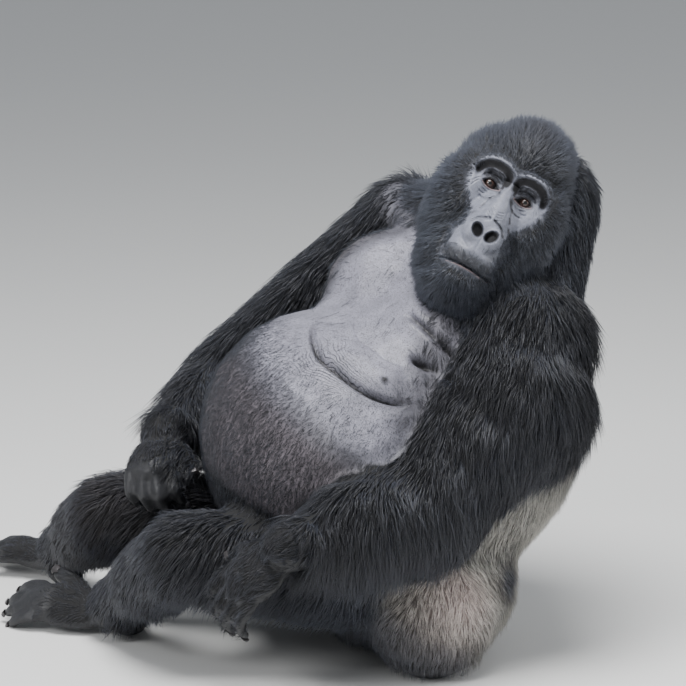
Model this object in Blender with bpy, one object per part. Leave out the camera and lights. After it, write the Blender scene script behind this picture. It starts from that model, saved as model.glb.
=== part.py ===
"""A silverback mountain gorilla, life size, sitting on its rump and leaning back on its left side.

Metres, +Z up. The floor is z = 0 and the origin lies on it, under the middle of the model's box.
The animal's chest faces -X and a little -Y; its face looks along -Y. The solids reach out to the
tips of the coat. Each limb is modelled whole from spheres, ellipsoids and tapers, fused by a voxel
remesh, smoothed, thinned, and then parted into its nodes by thin plane cuts.
"""

import bpy
import bmesh
import math
from mathutils import Matrix, Vector

# ---------------------------------------------------------------- driving sizes
GAP = 0.0004          # clear space left between neighbouring nodes

# joints of the skeleton, in the frame the body is modelled in
SHOULDER_R = Vector((0.120, 0.239, 0.684))
SHOULDER_L = Vector((0.305, -0.126, 0.552))
ELBOW_R = Vector((-0.212, 0.241, 0.404))
ELBOW_L = Vector((0.137, -0.300, 0.311))
WRIST_R = Vector((-0.312, 0.020, 0.352))
WRIST_L = Vector((-0.092, -0.448, 0.276))
HIP_R = Vector((-0.032, 0.053, 0.142))
HIP_L = Vector((0.072, -0.194, 0.175))
KNEE_R = Vector((-0.408, 0.084, 0.192))
KNEE_L = Vector((-0.262, -0.268, 0.215))
ANKLE_R = Vector((-0.525, 0.309, 0.066))
ANKLE_L = Vector((-0.406, -0.037, 0.060))
EYE_LINE = Vector((0.276, -0.163, 0.812))   # midway between the eyes

# coat radii of the limbs
SHOULDER_R_RADIUS = 0.103
SHOULDER_L_RADIUS = 0.133
ELBOW_R_RADIUS = 0.086
ELBOW_L_RADIUS = 0.115
WRIST_RADIUS = 0.050
HIP_RADIUS = 0.125
KNEE_RADIUS = 0.083
ANKLE_RADIUS = 0.050

EYE_RADIUS = 0.0135
EYE_SPACING = 0.0675
EYE_DEPTH = 0.019      # how far the eyeball's centre lies behind the eye line
LID_OPENING = (0.0155, 0.0180, 0.0100)
EAR_SIZE = (0.019, 0.028, 0.011)
NAIL_SIZE = (1.20, 1.30, 0.80)   # in radii of the digit: along it, across it and up

PALM_SIZE = (0.064, 0.053, 0.029)
FINGER_LENGTHS = (0.046, 0.034, 0.026)
FINGER_RADIUS = 0.0132
FINGER_SPREAD = 0.0265   # between the roots of neighbouring fingers
FINGER_FAN = 4.0         # degrees that neighbouring fingers part by
SOLE_SIZE = (0.095, 0.047, 0.030)
TOE_LENGTHS = (0.030, 0.022, 0.018)
TOE_RADIUS = 0.0122
TOE_SPREAD = 0.0235
TOE_FAN = 3.0

# ---------------------------------------------------------------- directions
Z_AXIS = Vector((0.0, 0.0, 1.0))
SHOULDER_MID = (SHOULDER_R + SHOULDER_L) / 2.0
HIP_MID = (HIP_R + HIP_L) / 2.0
TO_LEFT = (SHOULDER_L - SHOULDER_R).normalized()
ALONG_SPINE = SHOULDER_MID - HIP_MID
ALONG_SPINE = (ALONG_SPINE - TO_LEFT * ALONG_SPINE.dot(TO_LEFT)).normalized()
TO_BELLY = TO_LEFT.cross(ALONG_SPINE)
HIPS_LEFT = Vector((0.382, -0.924, 0.0)).normalized()
HIPS_FRONT = HIPS_LEFT.cross(Z_AXIS).normalized()
FACE_FRONT = Vector((-0.018, -0.977, 0.218)).normalized()
FACE_TOP = Vector((0.496, 0.181, 0.849))
FACE_TOP = (FACE_TOP - FACE_FRONT * FACE_TOP.dot(FACE_FRONT)).normalized()
FACE_LEFT = FACE_TOP.cross(FACE_FRONT)


def frame_matrix(x, y, z):
    """A rotation whose columns are the three unit directions."""
    return Matrix((x, y, z)).transposed().to_4x4()


TRUNK_FRAME = frame_matrix(TO_BELLY, TO_LEFT, ALONG_SPINE)
HIPS_FRAME = frame_matrix(HIPS_FRONT, HIPS_LEFT, Z_AXIS)
HEAD_FRAME = frame_matrix(-FACE_LEFT, FACE_FRONT, FACE_TOP)


def face(left, front, top):
    """A point given from the middle of the eye line, along the head's own directions."""
    return EYE_LINE + FACE_LEFT * left + FACE_FRONT * front + FACE_TOP * top


# ---------------------------------------------------------------- modelling helpers
def blob(bm, centre, radii, frame=None, detail=3):
    """An ellipsoid added to bm."""
    turn = frame if frame is not None else Matrix.Identity(4)
    size = Matrix.Diagonal((radii[0], radii[1], radii[2], 1.0))
    bmesh.ops.create_icosphere(
        bm, subdivisions=detail, radius=1.0, matrix=Matrix.Translation(centre) @ turn @ size)


def ball(bm, centre, radius, detail=3):
    blob(bm, centre, (radius, radius, radius), None, detail)


def taper(bm, start, end, start_radius, end_radius, detail=3):
    """A round-ended taper: two balls and the cone between them."""
    ball(bm, start, start_radius, detail)
    ball(bm, end, end_radius, detail)
    run = end - start
    turn = run.to_track_quat("Z", "Y").to_matrix().to_4x4()
    bmesh.ops.create_cone(
        bm, cap_ends=True, cap_tris=True, segments=24, radius1=start_radius, radius2=end_radius,
        depth=run.length, matrix=Matrix.Translation((start + end) / 2.0) @ turn)


def mesh_object(name, bm):
    mesh = bpy.data.meshes.new(name)
    bm.to_mesh(mesh)
    bm.free()
    obj = bpy.data.objects.new(name, mesh)
    bpy.context.scene.collection.objects.link(obj)
    return obj


def bake(obj):
    """Applies an object's modifiers and gives back its mesh as a bmesh; the object is removed."""
    graph = bpy.context.evaluated_depsgraph_get()
    graph.update()
    bm = bmesh.new()
    bm.from_object(obj, graph)
    bpy.data.objects.remove(obj, do_unlink=True)
    return bm


def fuse(bm, voxel, passes, faces):
    """Fuses the overlapping solids in bm into one smooth closed skin of about that many faces."""
    obj = mesh_object("fusing", bm)
    remesh = obj.modifiers.new("Remesh", "REMESH")
    remesh.mode = "VOXEL"
    remesh.voxel_size = voxel
    smooth = obj.modifiers.new("Smooth", "SMOOTH")
    smooth.factor = 0.5
    smooth.iterations = passes
    whole = bake(obj)
    bmesh.ops.triangulate(whole, faces=whole.faces[:])
    count = len(whole.faces)
    obj = mesh_object("thinning", whole)
    thin = obj.modifiers.new("Decimate", "DECIMATE")
    thin.ratio = min(1.0, faces / count)
    thin.use_collapse_triangulate = True
    return keep_largest(bake(obj))


def keep_largest(bm):
    """Keeps the island with the most faces."""
    islands = split_islands(bm)
    islands.sort(key=len, reverse=True)
    loose = [v for island in islands[1:] for v in island]
    bmesh.ops.delete(bm, geom=loose, context="VERTS")
    return bm


def split_islands(bm):
    left = set(bm.verts)
    islands = []
    while left:
        seed = left.pop()
        island = [seed]
        stack = [seed]
        while stack:
            vert = stack.pop()
            for edge in vert.link_edges:
                other = edge.other_vert(vert)
                if other in left:
                    left.remove(other)
                    island.append(other)
                    stack.append(other)
        islands.append(island)
    return islands


def halved(bm, point, normal, keep_front):
    """A closed copy of bm on one side of a plane, half a gap away from it."""
    side = 1.0 if keep_front else -1.0
    plane = normal.normalized()
    copy = bm.copy()
    geometry = copy.verts[:] + copy.edges[:] + copy.faces[:]
    bmesh.ops.bisect_plane(
        copy, geom=geometry, dist=1e-6, plane_co=point + plane * side * GAP / 2.0, plane_no=plane,
        clear_inner=keep_front, clear_outer=not keep_front)
    rim = [e for e in copy.edges if e.is_boundary]
    if rim:
        made = bmesh.ops.triangle_fill(copy, use_beauty=True, edges=rim, normal=plane * -side)
        caps = [g for g in made["geom"] if isinstance(g, bmesh.types.BMFace)]
        for cap in caps:
            if cap.normal.dot(plane) * side > 0.0:
                cap.normal_flip()
    bmesh.ops.dissolve_degenerate(copy, dist=1e-6, edges=copy.edges[:])
    bmesh.ops.triangulate(copy, faces=copy.faces[:])
    return keep_largest(copy)


def above_floor(bm):
    """The part of bm that lies above the floor, with a flat where the floor cut it."""
    return halved(bm, Vector((0.0, 0.0, -GAP / 2.0)), Z_AXIS, True)


def parted(bm, point, normal):
    """The two closed sides of a thin plane cut: behind the plane, and ahead of it."""
    behind = halved(bm, point, normal, False)
    ahead = halved(bm, point, normal, True)
    bm.free()
    return behind, ahead


def swollen(bm, amount):
    """A copy of bm pushed out along its normals."""
    copy = bm.copy()
    bmesh.ops.recalc_face_normals(copy, faces=copy.faces[:])
    copy.normal_update()
    shifts = [v.normal * amount for v in copy.verts]
    for vert, shift in zip(copy.verts, shifts):
        vert.co += shift
    return copy


def less(bm, cutter, clearance=GAP * 1.5):
    """bm with a slightly swollen copy of the cutter taken out of it."""
    bmesh.ops.recalc_face_normals(bm, faces=bm.faces[:])
    body = mesh_object("body", bm)
    tool = mesh_object("tool", swollen(cutter, clearance))
    tool.display_type = "WIRE"
    tool.hide_render = True
    cut = body.modifiers.new("Boolean", "BOOLEAN")
    cut.operation = "DIFFERENCE"
    cut.solver = "EXACT"
    cut.object = tool
    result = bake(body)
    bpy.data.objects.remove(tool, do_unlink=True)
    bmesh.ops.remove_doubles(result, verts=result.verts[:], dist=2e-5)
    bmesh.ops.dissolve_degenerate(result, dist=1e-5, edges=result.edges[:])
    bmesh.ops.triangulate(result, faces=result.faces[:])
    return keep_largest(result)


# ---------------------------------------------------------------- hands and feet
def paw(bm, root, aim, back, thumb_side, pad, knuckle, spread, fan, lengths, radius, curls, thumb):
    """A palm or sole with four digits and a thumb or great toe. Gives back the tips for the nails."""
    along = aim.normalized()
    up = (back - along * back.dot(along)).normalized()
    across = up.cross(along).normalized() * thumb_side
    frame = frame_matrix(along, across, up)
    blob(bm, root + along * pad[0] * 0.85, pad, frame)
    tips = []
    for i in range(4):
        place = 1.5 - i
        start = root + along * (knuckle - 0.004 * place * place) + across * spread * place
        scale = (0.92, 1.0, 0.96, 0.80)[i]
        ray = (along + across * math.tan(math.radians(fan * place))).normalized()
        angle = 0.0
        point = start
        for length, curl, thick in zip(lengths, curls, (1.0, 0.94, 0.86)):
            angle += math.radians(curl)
            way = ray * math.cos(angle) - up * math.sin(angle)
            reach = point + way * length * scale
            taper(bm, point, reach, radius * thick, radius * (thick - 0.06), 2)
            point = reach
        outer = up * math.cos(angle) + ray * math.sin(angle)
        tips.append((point, way, outer, outer.cross(way), radius * 0.80))
    start = root + along * thumb[0] + across * pad[1] * 0.72
    way = (along * thumb[1] + across * thumb[2] - up * thumb[3]).normalized()
    bend = (way * 0.85 + along * 0.5).normalized()
    middle = start + way * thumb[4]
    tip = middle + bend * thumb[4] * 0.75
    taper(bm, start, middle, thumb[5] * 1.15, thumb[5], 2)
    taper(bm, middle, tip, thumb[5], thumb[5] * 0.9, 2)
    outer = (up - bend * up.dot(bend)).normalized()
    tips.append((tip, bend, outer, outer.cross(bend), thumb[5] * 0.85))
    return tips


def nail(tip, flesh):
    """A thin curved plate over the end of a digit, standing a hair clear of the flesh."""
    point, way, outer, across, radius = tip
    bm = bmesh.new()
    centre = point + way * radius * 0.35 + outer * radius * 0.55
    frame = frame_matrix(way, across, outer)
    spread = Matrix.Diagonal((radius * NAIL_SIZE[0], radius * NAIL_SIZE[1], radius * NAIL_SIZE[2], 1.0))
    bmesh.ops.create_cube(bm, size=1.0, matrix=Matrix.Translation(centre) @ frame @ spread)
    rounded = []
    for edge in bm.edges:
        run = (edge.verts[1].co - edge.verts[0].co).normalized()
        on_top = (edge.verts[0].co - centre).dot(outer) > 0.0
        if on_top and abs(run.dot(way)) > 0.9:
            rounded.append(edge)
    bmesh.ops.bevel(bm, geom=rounded, offset=radius * 0.28, segments=1, affect="EDGES")
    return above_floor(less(bm, flesh, GAP))


# ---------------------------------------------------------------- the body's wholes
def build_trunk():
    bm = bmesh.new()
    blob(bm, Vector((0.173, -0.040, 0.366)), (0.240, 0.245, 0.265), TRUNK_FRAME)
    blob(bm, Vector((-0.024, -0.105, 0.366)), (0.215, 0.270, 0.225), TRUNK_FRAME)
    blob(bm, Vector((0.070, -0.075, 0.366)), (0.240, 0.265, 0.250), TRUNK_FRAME)
    blob(bm, Vector((0.221, -0.003, 0.508)), (0.195, 0.225, 0.215), TRUNK_FRAME)
    for side in (-1.0, 1.0):
        breast = Vector((0.130, -0.033, 0.559)) + TO_LEFT * 0.100 * side
        blob(bm, breast, (0.125, 0.125, 0.120), TRUNK_FRAME)
    blob(bm, Vector((0.095, -0.090, 0.165)), (0.180, 0.220, 0.172), HIPS_FRAME)
    blob(bm, Vector((0.152, -0.250, 0.102)), (0.115, 0.105, 0.112), HIPS_FRAME)
    blob(bm, Vector((0.075, 0.050, 0.100)), (0.120, 0.105, 0.112), HIPS_FRAME)
    ball(bm, SHOULDER_R - TO_BELLY * 0.01, 0.078)
    ball(bm, SHOULDER_L - TO_BELLY * 0.01, 0.078)
    blob(bm, Vector((0.155, -0.110, 0.125)), (0.150, 0.170, 0.138), HIPS_FRAME)
    # upper back and the heavy nape
    upper_back = SHOULDER_MID - TO_BELLY * 0.055 - ALONG_SPINE * 0.060
    blob(bm, upper_back, (0.155, 0.250, 0.165), TRUNK_FRAME)
    taper(bm, upper_back + ALONG_SPINE * 0.04, face(0.045, -0.195, -0.010), 0.185, 0.118)
    taper(bm, upper_back - TO_LEFT * 0.10, face(0.020, -0.195, -0.010), 0.120, 0.110)
    taper(bm, SHOULDER_R, face(0.03, -0.18, -0.04), 0.078, 0.105)
    taper(bm, SHOULDER_L, face(0.07, -0.175, -0.06), 0.078, 0.110)
    taper(bm, SHOULDER_MID, face(0.05, -0.185, -0.05), 0.130, 0.125)
    taper(bm, face(0.050, -0.190, 0.022), face(0.083, -0.180, -0.120), 0.116, 0.128)
    return fuse(bm, 0.017, 12, 1060)


def build_head():
    bm = bmesh.new()

    def part(place, radii):
        blob(bm, face(*place), radii, HEAD_FRAME)

    # braincase, crest, cheeks and jowls
    part((0.0, -0.130, 0.020), (0.110, 0.128, 0.106))
    part((0.006, -0.118, 0.074), (0.083, 0.117, 0.088))
    part((0.0, -0.070, -0.010), (0.086, 0.061, 0.062))
    for side in (-1.0, 1.0):
        part((side * 0.060, -0.078, -0.045), (0.061, 0.085, 0.110))
        part((side * 0.048, -0.058, -0.128), (0.056, 0.075, 0.080))
    # brow ridge, arched over each eye
    for side in (-1.0, 1.0):
        taper(bm, face(0.0, 0.004, 0.034), face(side * 0.042, 0.002, 0.042), 0.019, 0.018)
        taper(bm, face(side * 0.042, 0.002, 0.042), face(side * 0.070, -0.020, 0.022), 0.018, 0.017)
        part((side * 0.062, -0.026, -0.022), (0.030, 0.030, 0.028))
        part((side * 0.019, 0.045, -0.085), (0.020, 0.020, 0.024))
    # nasal bridge, muzzle, lips and chin
    taper(bm, face(0.0, -0.010, 0.010), face(0.0, 0.034, -0.062), 0.014, 0.021)
    part((0.0, 0.000, -0.105), (0.058, 0.062, 0.058))
    part((0.0, 0.030, -0.128), (0.050, 0.038, 0.030))
    part((0.0, 0.018, -0.166), (0.045, 0.044, 0.030))
    part((0.0, -0.045, -0.172), (0.082, 0.088, 0.070))
    return fuse(bm, 0.0070, 4, 1240)


def build_arm(shoulder, elbow, wrist, radii, bulk):
    bm = bmesh.new()
    taper(bm, shoulder, elbow, radii[0], radii[1])
    if bulk:
        ball(bm, bulk[0], bulk[1])
        ball(bm, bulk[2], bulk[3])
    taper(bm, elbow, wrist, radii[2], WRIST_RADIUS)
    taper(bm, elbow, elbow.lerp(wrist, 0.5), radii[2] * 0.96, radii[3])
    return fuse(bm, 0.014, 8, 500)


def build_leg(hip, knee, ankle):
    bm = bmesh.new()
    taper(bm, hip, knee, HIP_RADIUS, KNEE_RADIUS)
    taper(bm, knee, ankle, KNEE_RADIUS, ANKLE_RADIUS)
    taper(bm, knee, knee.lerp(ankle, 0.45), KNEE_RADIUS, KNEE_RADIUS * 0.92)
    return fuse(bm, 0.013, 8, 360)


def build_hand(elbow, wrist, aim, back, thumb_side, curls):
    bm = bmesh.new()
    arm_way = (wrist - elbow).normalized()
    taper(bm, wrist - arm_way * 0.05, wrist, WRIST_RADIUS, WRIST_RADIUS * 0.92)
    tips = paw(bm, wrist + aim.normalized() * 0.012, aim, back, thumb_side, PALM_SIZE, 0.100,
               FINGER_SPREAD, FINGER_FAN, FINGER_LENGTHS, FINGER_RADIUS, curls,
               (0.030, 0.70, 0.55, 0.45, 0.036, 0.0145))
    return fuse(bm, 0.0042, 2, 620), tips


def build_foot(knee, ankle, aim, back, thumb_side):
    bm = bmesh.new()
    leg_way = (ankle - knee).normalized()
    taper(bm, ankle - leg_way * 0.05, ankle, ANKLE_RADIUS, ANKLE_RADIUS * 0.94)
    along = aim.normalized()
    up = (back - along * back.dot(along)).normalized()
    root = ankle - up * 0.026
    ball(bm, root - along * 0.026 - up * 0.004, 0.038)
    tips = paw(bm, root, aim, back, thumb_side, SOLE_SIZE, 0.150, TOE_SPREAD, TOE_FAN, TOE_LENGTHS,
               TOE_RADIUS, (14.0, 22.0, 18.0), (0.070, 0.72, 0.62, 0.20, 0.040, 0.0175))
    return fuse(bm, 0.0048, 2, 440), tips


def build_ear(side, head, trunk):
    """A small round ear with a hollow, lying back against the side of the head."""
    bm = bmesh.new()
    place = face(side * 0.113, -0.088, -0.013)
    lean = (FACE_LEFT * side * 0.86 + FACE_FRONT * 0.50).normalized()
    upward = (FACE_TOP - lean * FACE_TOP.dot(lean)).normalized()
    frame = frame_matrix(upward.cross(lean), upward, lean)
    blob(bm, place, EAR_SIZE, frame, 1)
    hollow = bmesh.new()
    blob(hollow, place + lean * EAR_SIZE[2] * 0.9, [size * 0.55 for size in EAR_SIZE], frame, 1)
    shell = less(bm, hollow, 0.0)
    hollow.free()
    return less(less(shell, head), trunk)


# ---------------------------------------------------------------- materials and nodes
LOOKS = {
    "black_coat": ((0.012, 0.012, 0.015, 1.0), 0.72),
    "silver_coat": ((0.30, 0.28, 0.26, 1.0), 0.75),
    "bare_chest": ((0.20, 0.19, 0.22, 1.0), 0.48),
    "bare_skin": ((0.045, 0.047, 0.055, 1.0), 0.45),
    "eye": ((0.060, 0.022, 0.012, 1.0), 0.08),
    "nail": ((0.022, 0.020, 0.020, 1.0), 0.35),
}


def look(name):
    material = bpy.data.materials.get(name)
    if material is None:
        colour, rough = LOOKS[name]
        material = bpy.data.materials.new(name)
        material.use_nodes = True
        shader = material.node_tree.nodes["Principled BSDF"]
        shader.inputs["Base Color"].default_value = colour
        shader.inputs["Roughness"].default_value = rough
        shader.inputs["Metallic"].default_value = 0.0
        material.diffuse_color = colour
    return material


def node(name, bm, surface, shift):
    """Turns a finished bmesh into the named object."""
    bmesh.ops.translate(bm, verts=bm.verts[:], vec=shift)
    bmesh.ops.recalc_face_normals(bm, faces=bm.faces[:])
    obj = mesh_object(name, bm)
    obj.data.materials.append(look(surface))
    for polygon in obj.data.polygons:
        polygon.use_smooth = True
    return obj


def main():
    for obj in list(bpy.data.objects):
        bpy.data.objects.remove(obj, do_unlink=True)

    trunk = above_floor(build_trunk())
    done = {}

    # legs and feet
    legs = {}
    feet = {}
    toes = {}
    shapes = (
        ("left", HIP_L, KNEE_L, ANKLE_L, Vector((-0.96, 0.28, 0.06)), Vector((-0.05, -0.62, 0.78)), -1.0),
        ("right", HIP_R, KNEE_R, ANKLE_R, Vector((-0.62, 0.78, 0.0)), Vector((0.10, 0.15, 0.98)), 1.0),
    )
    for side, hip, knee, ankle, aim, back, thumb in shapes:
        leg = above_floor(less(build_leg(hip, knee, ankle), trunk))
        way = (ankle - knee).normalized()
        leg = halved(leg, ankle - way * 0.030, way, False)
        foot, tips = build_foot(knee, ankle, aim, back, thumb)
        foot = above_floor(halved(foot, ankle - way * 0.030, way, True))
        legs[side] = leg
        feet[side] = foot
        toes[side] = tips

    # arms and hands
    arms = {}
    hands = {}
    fingers = {}
    shapes = (
        ("left", SHOULDER_L, ELBOW_L, WRIST_L, (SHOULDER_L_RADIUS, ELBOW_L_RADIUS, 0.108, 0.094),
         (Vector((0.286, -0.187, 0.458)), 0.150, Vector((0.215, -0.235, 0.400)), 0.130),
         Vector((-0.74, 0.06, -0.66)), Vector((-0.30, -0.72, 0.55)), -1.0, (22.0, 34.0, 26.0)),
        ("right", SHOULDER_R, ELBOW_R, WRIST_R, (SHOULDER_R_RADIUS, ELBOW_R_RADIUS, 0.083, 0.070),
         None, Vector((-0.18, -0.86, -0.34)), Vector((-0.25, -0.25, 0.92)), 1.0, (48.0, 62.0, 30.0)),
    )
    for side, shoulder, elbow, wrist, radii, bulk, aim, back, thumb, curls in shapes:
        arm = less(build_arm(shoulder, elbow, wrist, radii, bulk), trunk)
        for leg in legs.values():
            arm = less(arm, leg)
        way = (wrist - elbow).normalized()
        arm = halved(arm, wrist - way * 0.030, way, False)
        hand, tips = build_hand(elbow, wrist, aim, back, thumb, curls)
        hand = halved(hand, wrist - way * 0.030, way, True)
        for leg in legs.values():
            hand = less(hand, leg)
        hand = less(less(hand, trunk), arm)
        arms[side] = arm
        hands[side] = hand
        fingers[side] = tips

    # head, with its eyes and ears
    head = less(build_head(), trunk)
    for arm in arms.values():
        head = less(head, arm)
    eyes = {}
    for side, sign in (("left", 1.0), ("right", -1.0)):
        eye = bmesh.new()
        ball(eye, face(sign * EYE_SPACING / 2.0, -EYE_DEPTH, 0.0), EYE_RADIUS, 2)
        head = less(head, eye)
        opening = bmesh.new()
        blob(opening, face(sign * EYE_SPACING / 2.0, 0.002, 0.0), LID_OPENING, HEAD_FRAME, 2)
        head = less(head, opening, 0.0)
        opening.free()
        eyes[side] = eye
    ears = {"left": build_ear(1.0, head, trunk), "right": build_ear(-1.0, head, trunk)}

    # nails
    for side in ("left", "right"):
        names = ("index", "middle", "ring", "little", "thumb")
        for name, tip in zip(names, fingers[side]):
            done["nail_%s_%s" % (name, side)] = (nail(tip, hands[side]), "nail")
        names = ("toe_2", "toe_3", "toe_4", "toe_5", "great_toe")
        for name, tip in zip(names, toes[side]):
            done["nail_%s_%s" % (name, side)] = (nail(tip, feet[side]), "nail")

    # thin cuts that part the wholes into nodes
    spine_low = Vector((0.08, -0.09, 0.235))
    lower, upper = parted(trunk, spine_low, (ALONG_SPINE + Z_AXIS).normalized())
    belly, upper = parted(upper, Vector((0.145, -0.03, 0.445)), ALONG_SPINE)
    neck_way = (face(0.05, -0.16, -0.04) - SHOULDER_MID).normalized()
    chest, neck = parted(upper, SHOULDER_MID + neck_way * 0.105, neck_way)
    done["pelvis"] = (lower, "silver_coat")
    done["belly"] = (belly, "bare_chest")
    done["chest"] = (chest, "bare_chest")
    done["neck"] = (neck, "black_coat")
    for side, hip, knee, ankle in (("left", HIP_L, KNEE_L, ANKLE_L), ("right", HIP_R, KNEE_R, ANKLE_R)):
        bend = ((knee - hip).normalized() + (ankle - knee).normalized()).normalized()
        thigh, shank = parted(legs[side], knee, bend)
        done["thigh_" + side] = (thigh, "black_coat")
        done["shank_" + side] = (shank, "black_coat")
        done["foot_" + side] = (feet[side], "bare_skin")
    for side, shoulder, elbow, wrist in (
            ("left", SHOULDER_L, ELBOW_L, WRIST_L), ("right", SHOULDER_R, ELBOW_R, WRIST_R)):
        bend = ((elbow - shoulder).normalized() + (wrist - elbow).normalized()).normalized()
        upper_arm, forearm = parted(arms[side], elbow, bend)
        done["upper_arm_" + side] = (upper_arm, "black_coat")
        done["forearm_" + side] = (forearm, "black_coat")
        done["hand_" + side] = (hands[side], "bare_skin")
    done["head"] = (head, "black_coat")
    for side in ("left", "right"):
        done["eye_" + side] = (eyes[side], "eye")
        done["ear_" + side] = (ears[side], "bare_skin")

    # the origin goes to the floor under the middle of the model's box
    corners = [v.co for bm, surface in done.values() for v in bm.verts]
    low = [min(c[i] for c in corners) for i in range(3)]
    high = [max(c[i] for c in corners) for i in range(3)]
    shift = Vector((-(low[0] + high[0]) / 2.0, -(low[1] + high[1]) / 2.0, -low[2]))
    total = 0
    for name, (bm, surface) in done.items():
        total += len(bm.faces)
        node(name, bm, surface, shift)
    print("shift", [round(c, 5) for c in shift], "triangles", total)


main()
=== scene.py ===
"""A sitting gorilla as a still museum model: its skin, its coat of locks, eyes, nails and the stage."""

import math

import bmesh
import bpy
import numpy as np
from bpy.props import FloatProperty, FloatVectorProperty, IntProperty, PointerProperty
from mathutils import Matrix, Vector
from mathutils.bvhtree import BVHTree


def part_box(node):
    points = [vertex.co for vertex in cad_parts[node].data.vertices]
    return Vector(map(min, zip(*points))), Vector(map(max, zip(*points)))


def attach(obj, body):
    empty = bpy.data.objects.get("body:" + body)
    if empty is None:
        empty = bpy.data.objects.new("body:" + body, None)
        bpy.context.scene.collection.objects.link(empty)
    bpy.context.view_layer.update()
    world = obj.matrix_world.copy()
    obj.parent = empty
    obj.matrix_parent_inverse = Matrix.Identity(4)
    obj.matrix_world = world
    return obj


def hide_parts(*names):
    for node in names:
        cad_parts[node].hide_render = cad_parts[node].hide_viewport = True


bl_info = {
    "name": "Sitting gorilla",
    "version": (1, 0, 0),
    "blender": (4, 5, 0),
    "location": "3D View > Sidebar > Gorilla",
    "description": "Builds the skin, coat, eyes, nails and stage of a sitting gorilla round its solid parts",
    "category": "Add Mesh",
}

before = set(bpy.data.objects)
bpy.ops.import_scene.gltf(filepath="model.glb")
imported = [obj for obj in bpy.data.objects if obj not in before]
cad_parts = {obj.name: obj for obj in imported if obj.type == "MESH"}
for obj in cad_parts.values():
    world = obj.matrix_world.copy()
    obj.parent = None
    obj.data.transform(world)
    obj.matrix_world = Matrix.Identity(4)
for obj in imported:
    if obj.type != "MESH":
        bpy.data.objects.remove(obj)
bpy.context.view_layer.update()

# ---------------------------------------------------------------- places and directions
EYE_SPACING = 0.0675
EYE_RADIUS = 0.0135
EYE_DEPTH = 0.019        # how far the eyeball's centre lies behind the eye line


def box_middle(name):
    low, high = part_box(name)
    return (Vector(low) + Vector(high)) / 2.0


FACE_FRONT = Vector((-0.018, -0.977, 0.218)).normalized()
FACE_TOP = Vector((0.496, 0.181, 0.849))
FACE_TOP = (FACE_TOP - FACE_FRONT * FACE_TOP.dot(FACE_FRONT)).normalized()
FACE_LEFT = FACE_TOP.cross(FACE_FRONT)
EYE_LINE = (box_middle("eye_left") + box_middle("eye_right")) / 2.0 + FACE_FRONT * EYE_DEPTH
BODY_SHIFT = EYE_LINE - Vector((0.276, -0.163, 0.812))


def body_place(x, y, z):
    return BODY_SHIFT + Vector((x, y, z))


SHOULDER_R = body_place(0.120, 0.239, 0.684)
SHOULDER_L = body_place(0.305, -0.126, 0.552)
ELBOW_R = body_place(-0.212, 0.241, 0.404)
ELBOW_L = body_place(0.137, -0.300, 0.311)
WRIST_R = body_place(-0.312, 0.020, 0.352)
WRIST_L = body_place(-0.092, -0.448, 0.276)
HIP_R = body_place(-0.032, 0.053, 0.142)
HIP_L = body_place(0.072, -0.194, 0.175)
KNEE_R = body_place(-0.408, 0.084, 0.192)
KNEE_L = body_place(-0.262, -0.268, 0.215)
ANKLE_R = body_place(-0.525, 0.309, 0.066)
ANKLE_L = body_place(-0.406, -0.037, 0.060)
SHOULDER_MID = (SHOULDER_R + SHOULDER_L) / 2.0
HIP_MID = (HIP_R + HIP_L) / 2.0
TRUNK_MID = (SHOULDER_MID + HIP_MID) / 2.0
TO_LEFT = (SHOULDER_L - SHOULDER_R).normalized()
ALONG_SPINE = SHOULDER_MID - HIP_MID
ALONG_SPINE = (ALONG_SPINE - TO_LEFT * ALONG_SPINE.dot(TO_LEFT)).normalized()
TO_BELLY = TO_LEFT.cross(ALONG_SPINE)
DOWN = Vector((0.0, 0.0, -1.0))

BODY = "root"
EYES = ("eye_left", "eye_right")
NODES = sorted(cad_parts)
NAILS = [name for name in NODES if name.startswith("nail_")]
FLESH = [name for name in NODES if name not in EYES and name not in NAILS]

# the coat's pieces and the flesh nodes that each one grows on
COATS = {
    "coat_face": (),
    "coat_crown": ("head", "ear_left", "ear_right"),
    "coat_neck": ("neck",),
    "coat_upper_arm_left": ("upper_arm_left",),
    "coat_upper_arm_right": ("upper_arm_right",),
    "coat_forearm_left": ("forearm_left", "hand_left"),
    "coat_forearm_right": ("forearm_right", "hand_right"),
    "coat_chest": ("chest",),
    "coat_belly": ("belly",),
    "coat_flank": (),
    "coat_pelvis": ("pelvis",),
    "coat_thigh_left": ("thigh_left",),
    "coat_thigh_right": ("thigh_right",),
    "coat_shank_left": ("shank_left", "foot_left"),
    "coat_shank_right": ("shank_right", "foot_right"),
}
FACE_COAT_BACK = -0.060     # behind this the head's hair belongs to the crown's piece
BELLY_COAT_BACK = 0.05      # behind this the belly's hair belongs to the flank's piece


# ---------------------------------------------------------------- settings
def length_setting(name, about, value, **limits):
    return FloatProperty(name=name, description=about, default=value, unit="LENGTH", **limits)


def share_setting(name, about, value):
    return FloatProperty(name=name, description=about, default=value, min=0.0, max=1.0, subtype="FACTOR")


def colour_setting(name, about, *value):
    return FloatVectorProperty(name=name, description=about, default=(*value, 1.0), size=4, subtype="COLOR")


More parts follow.
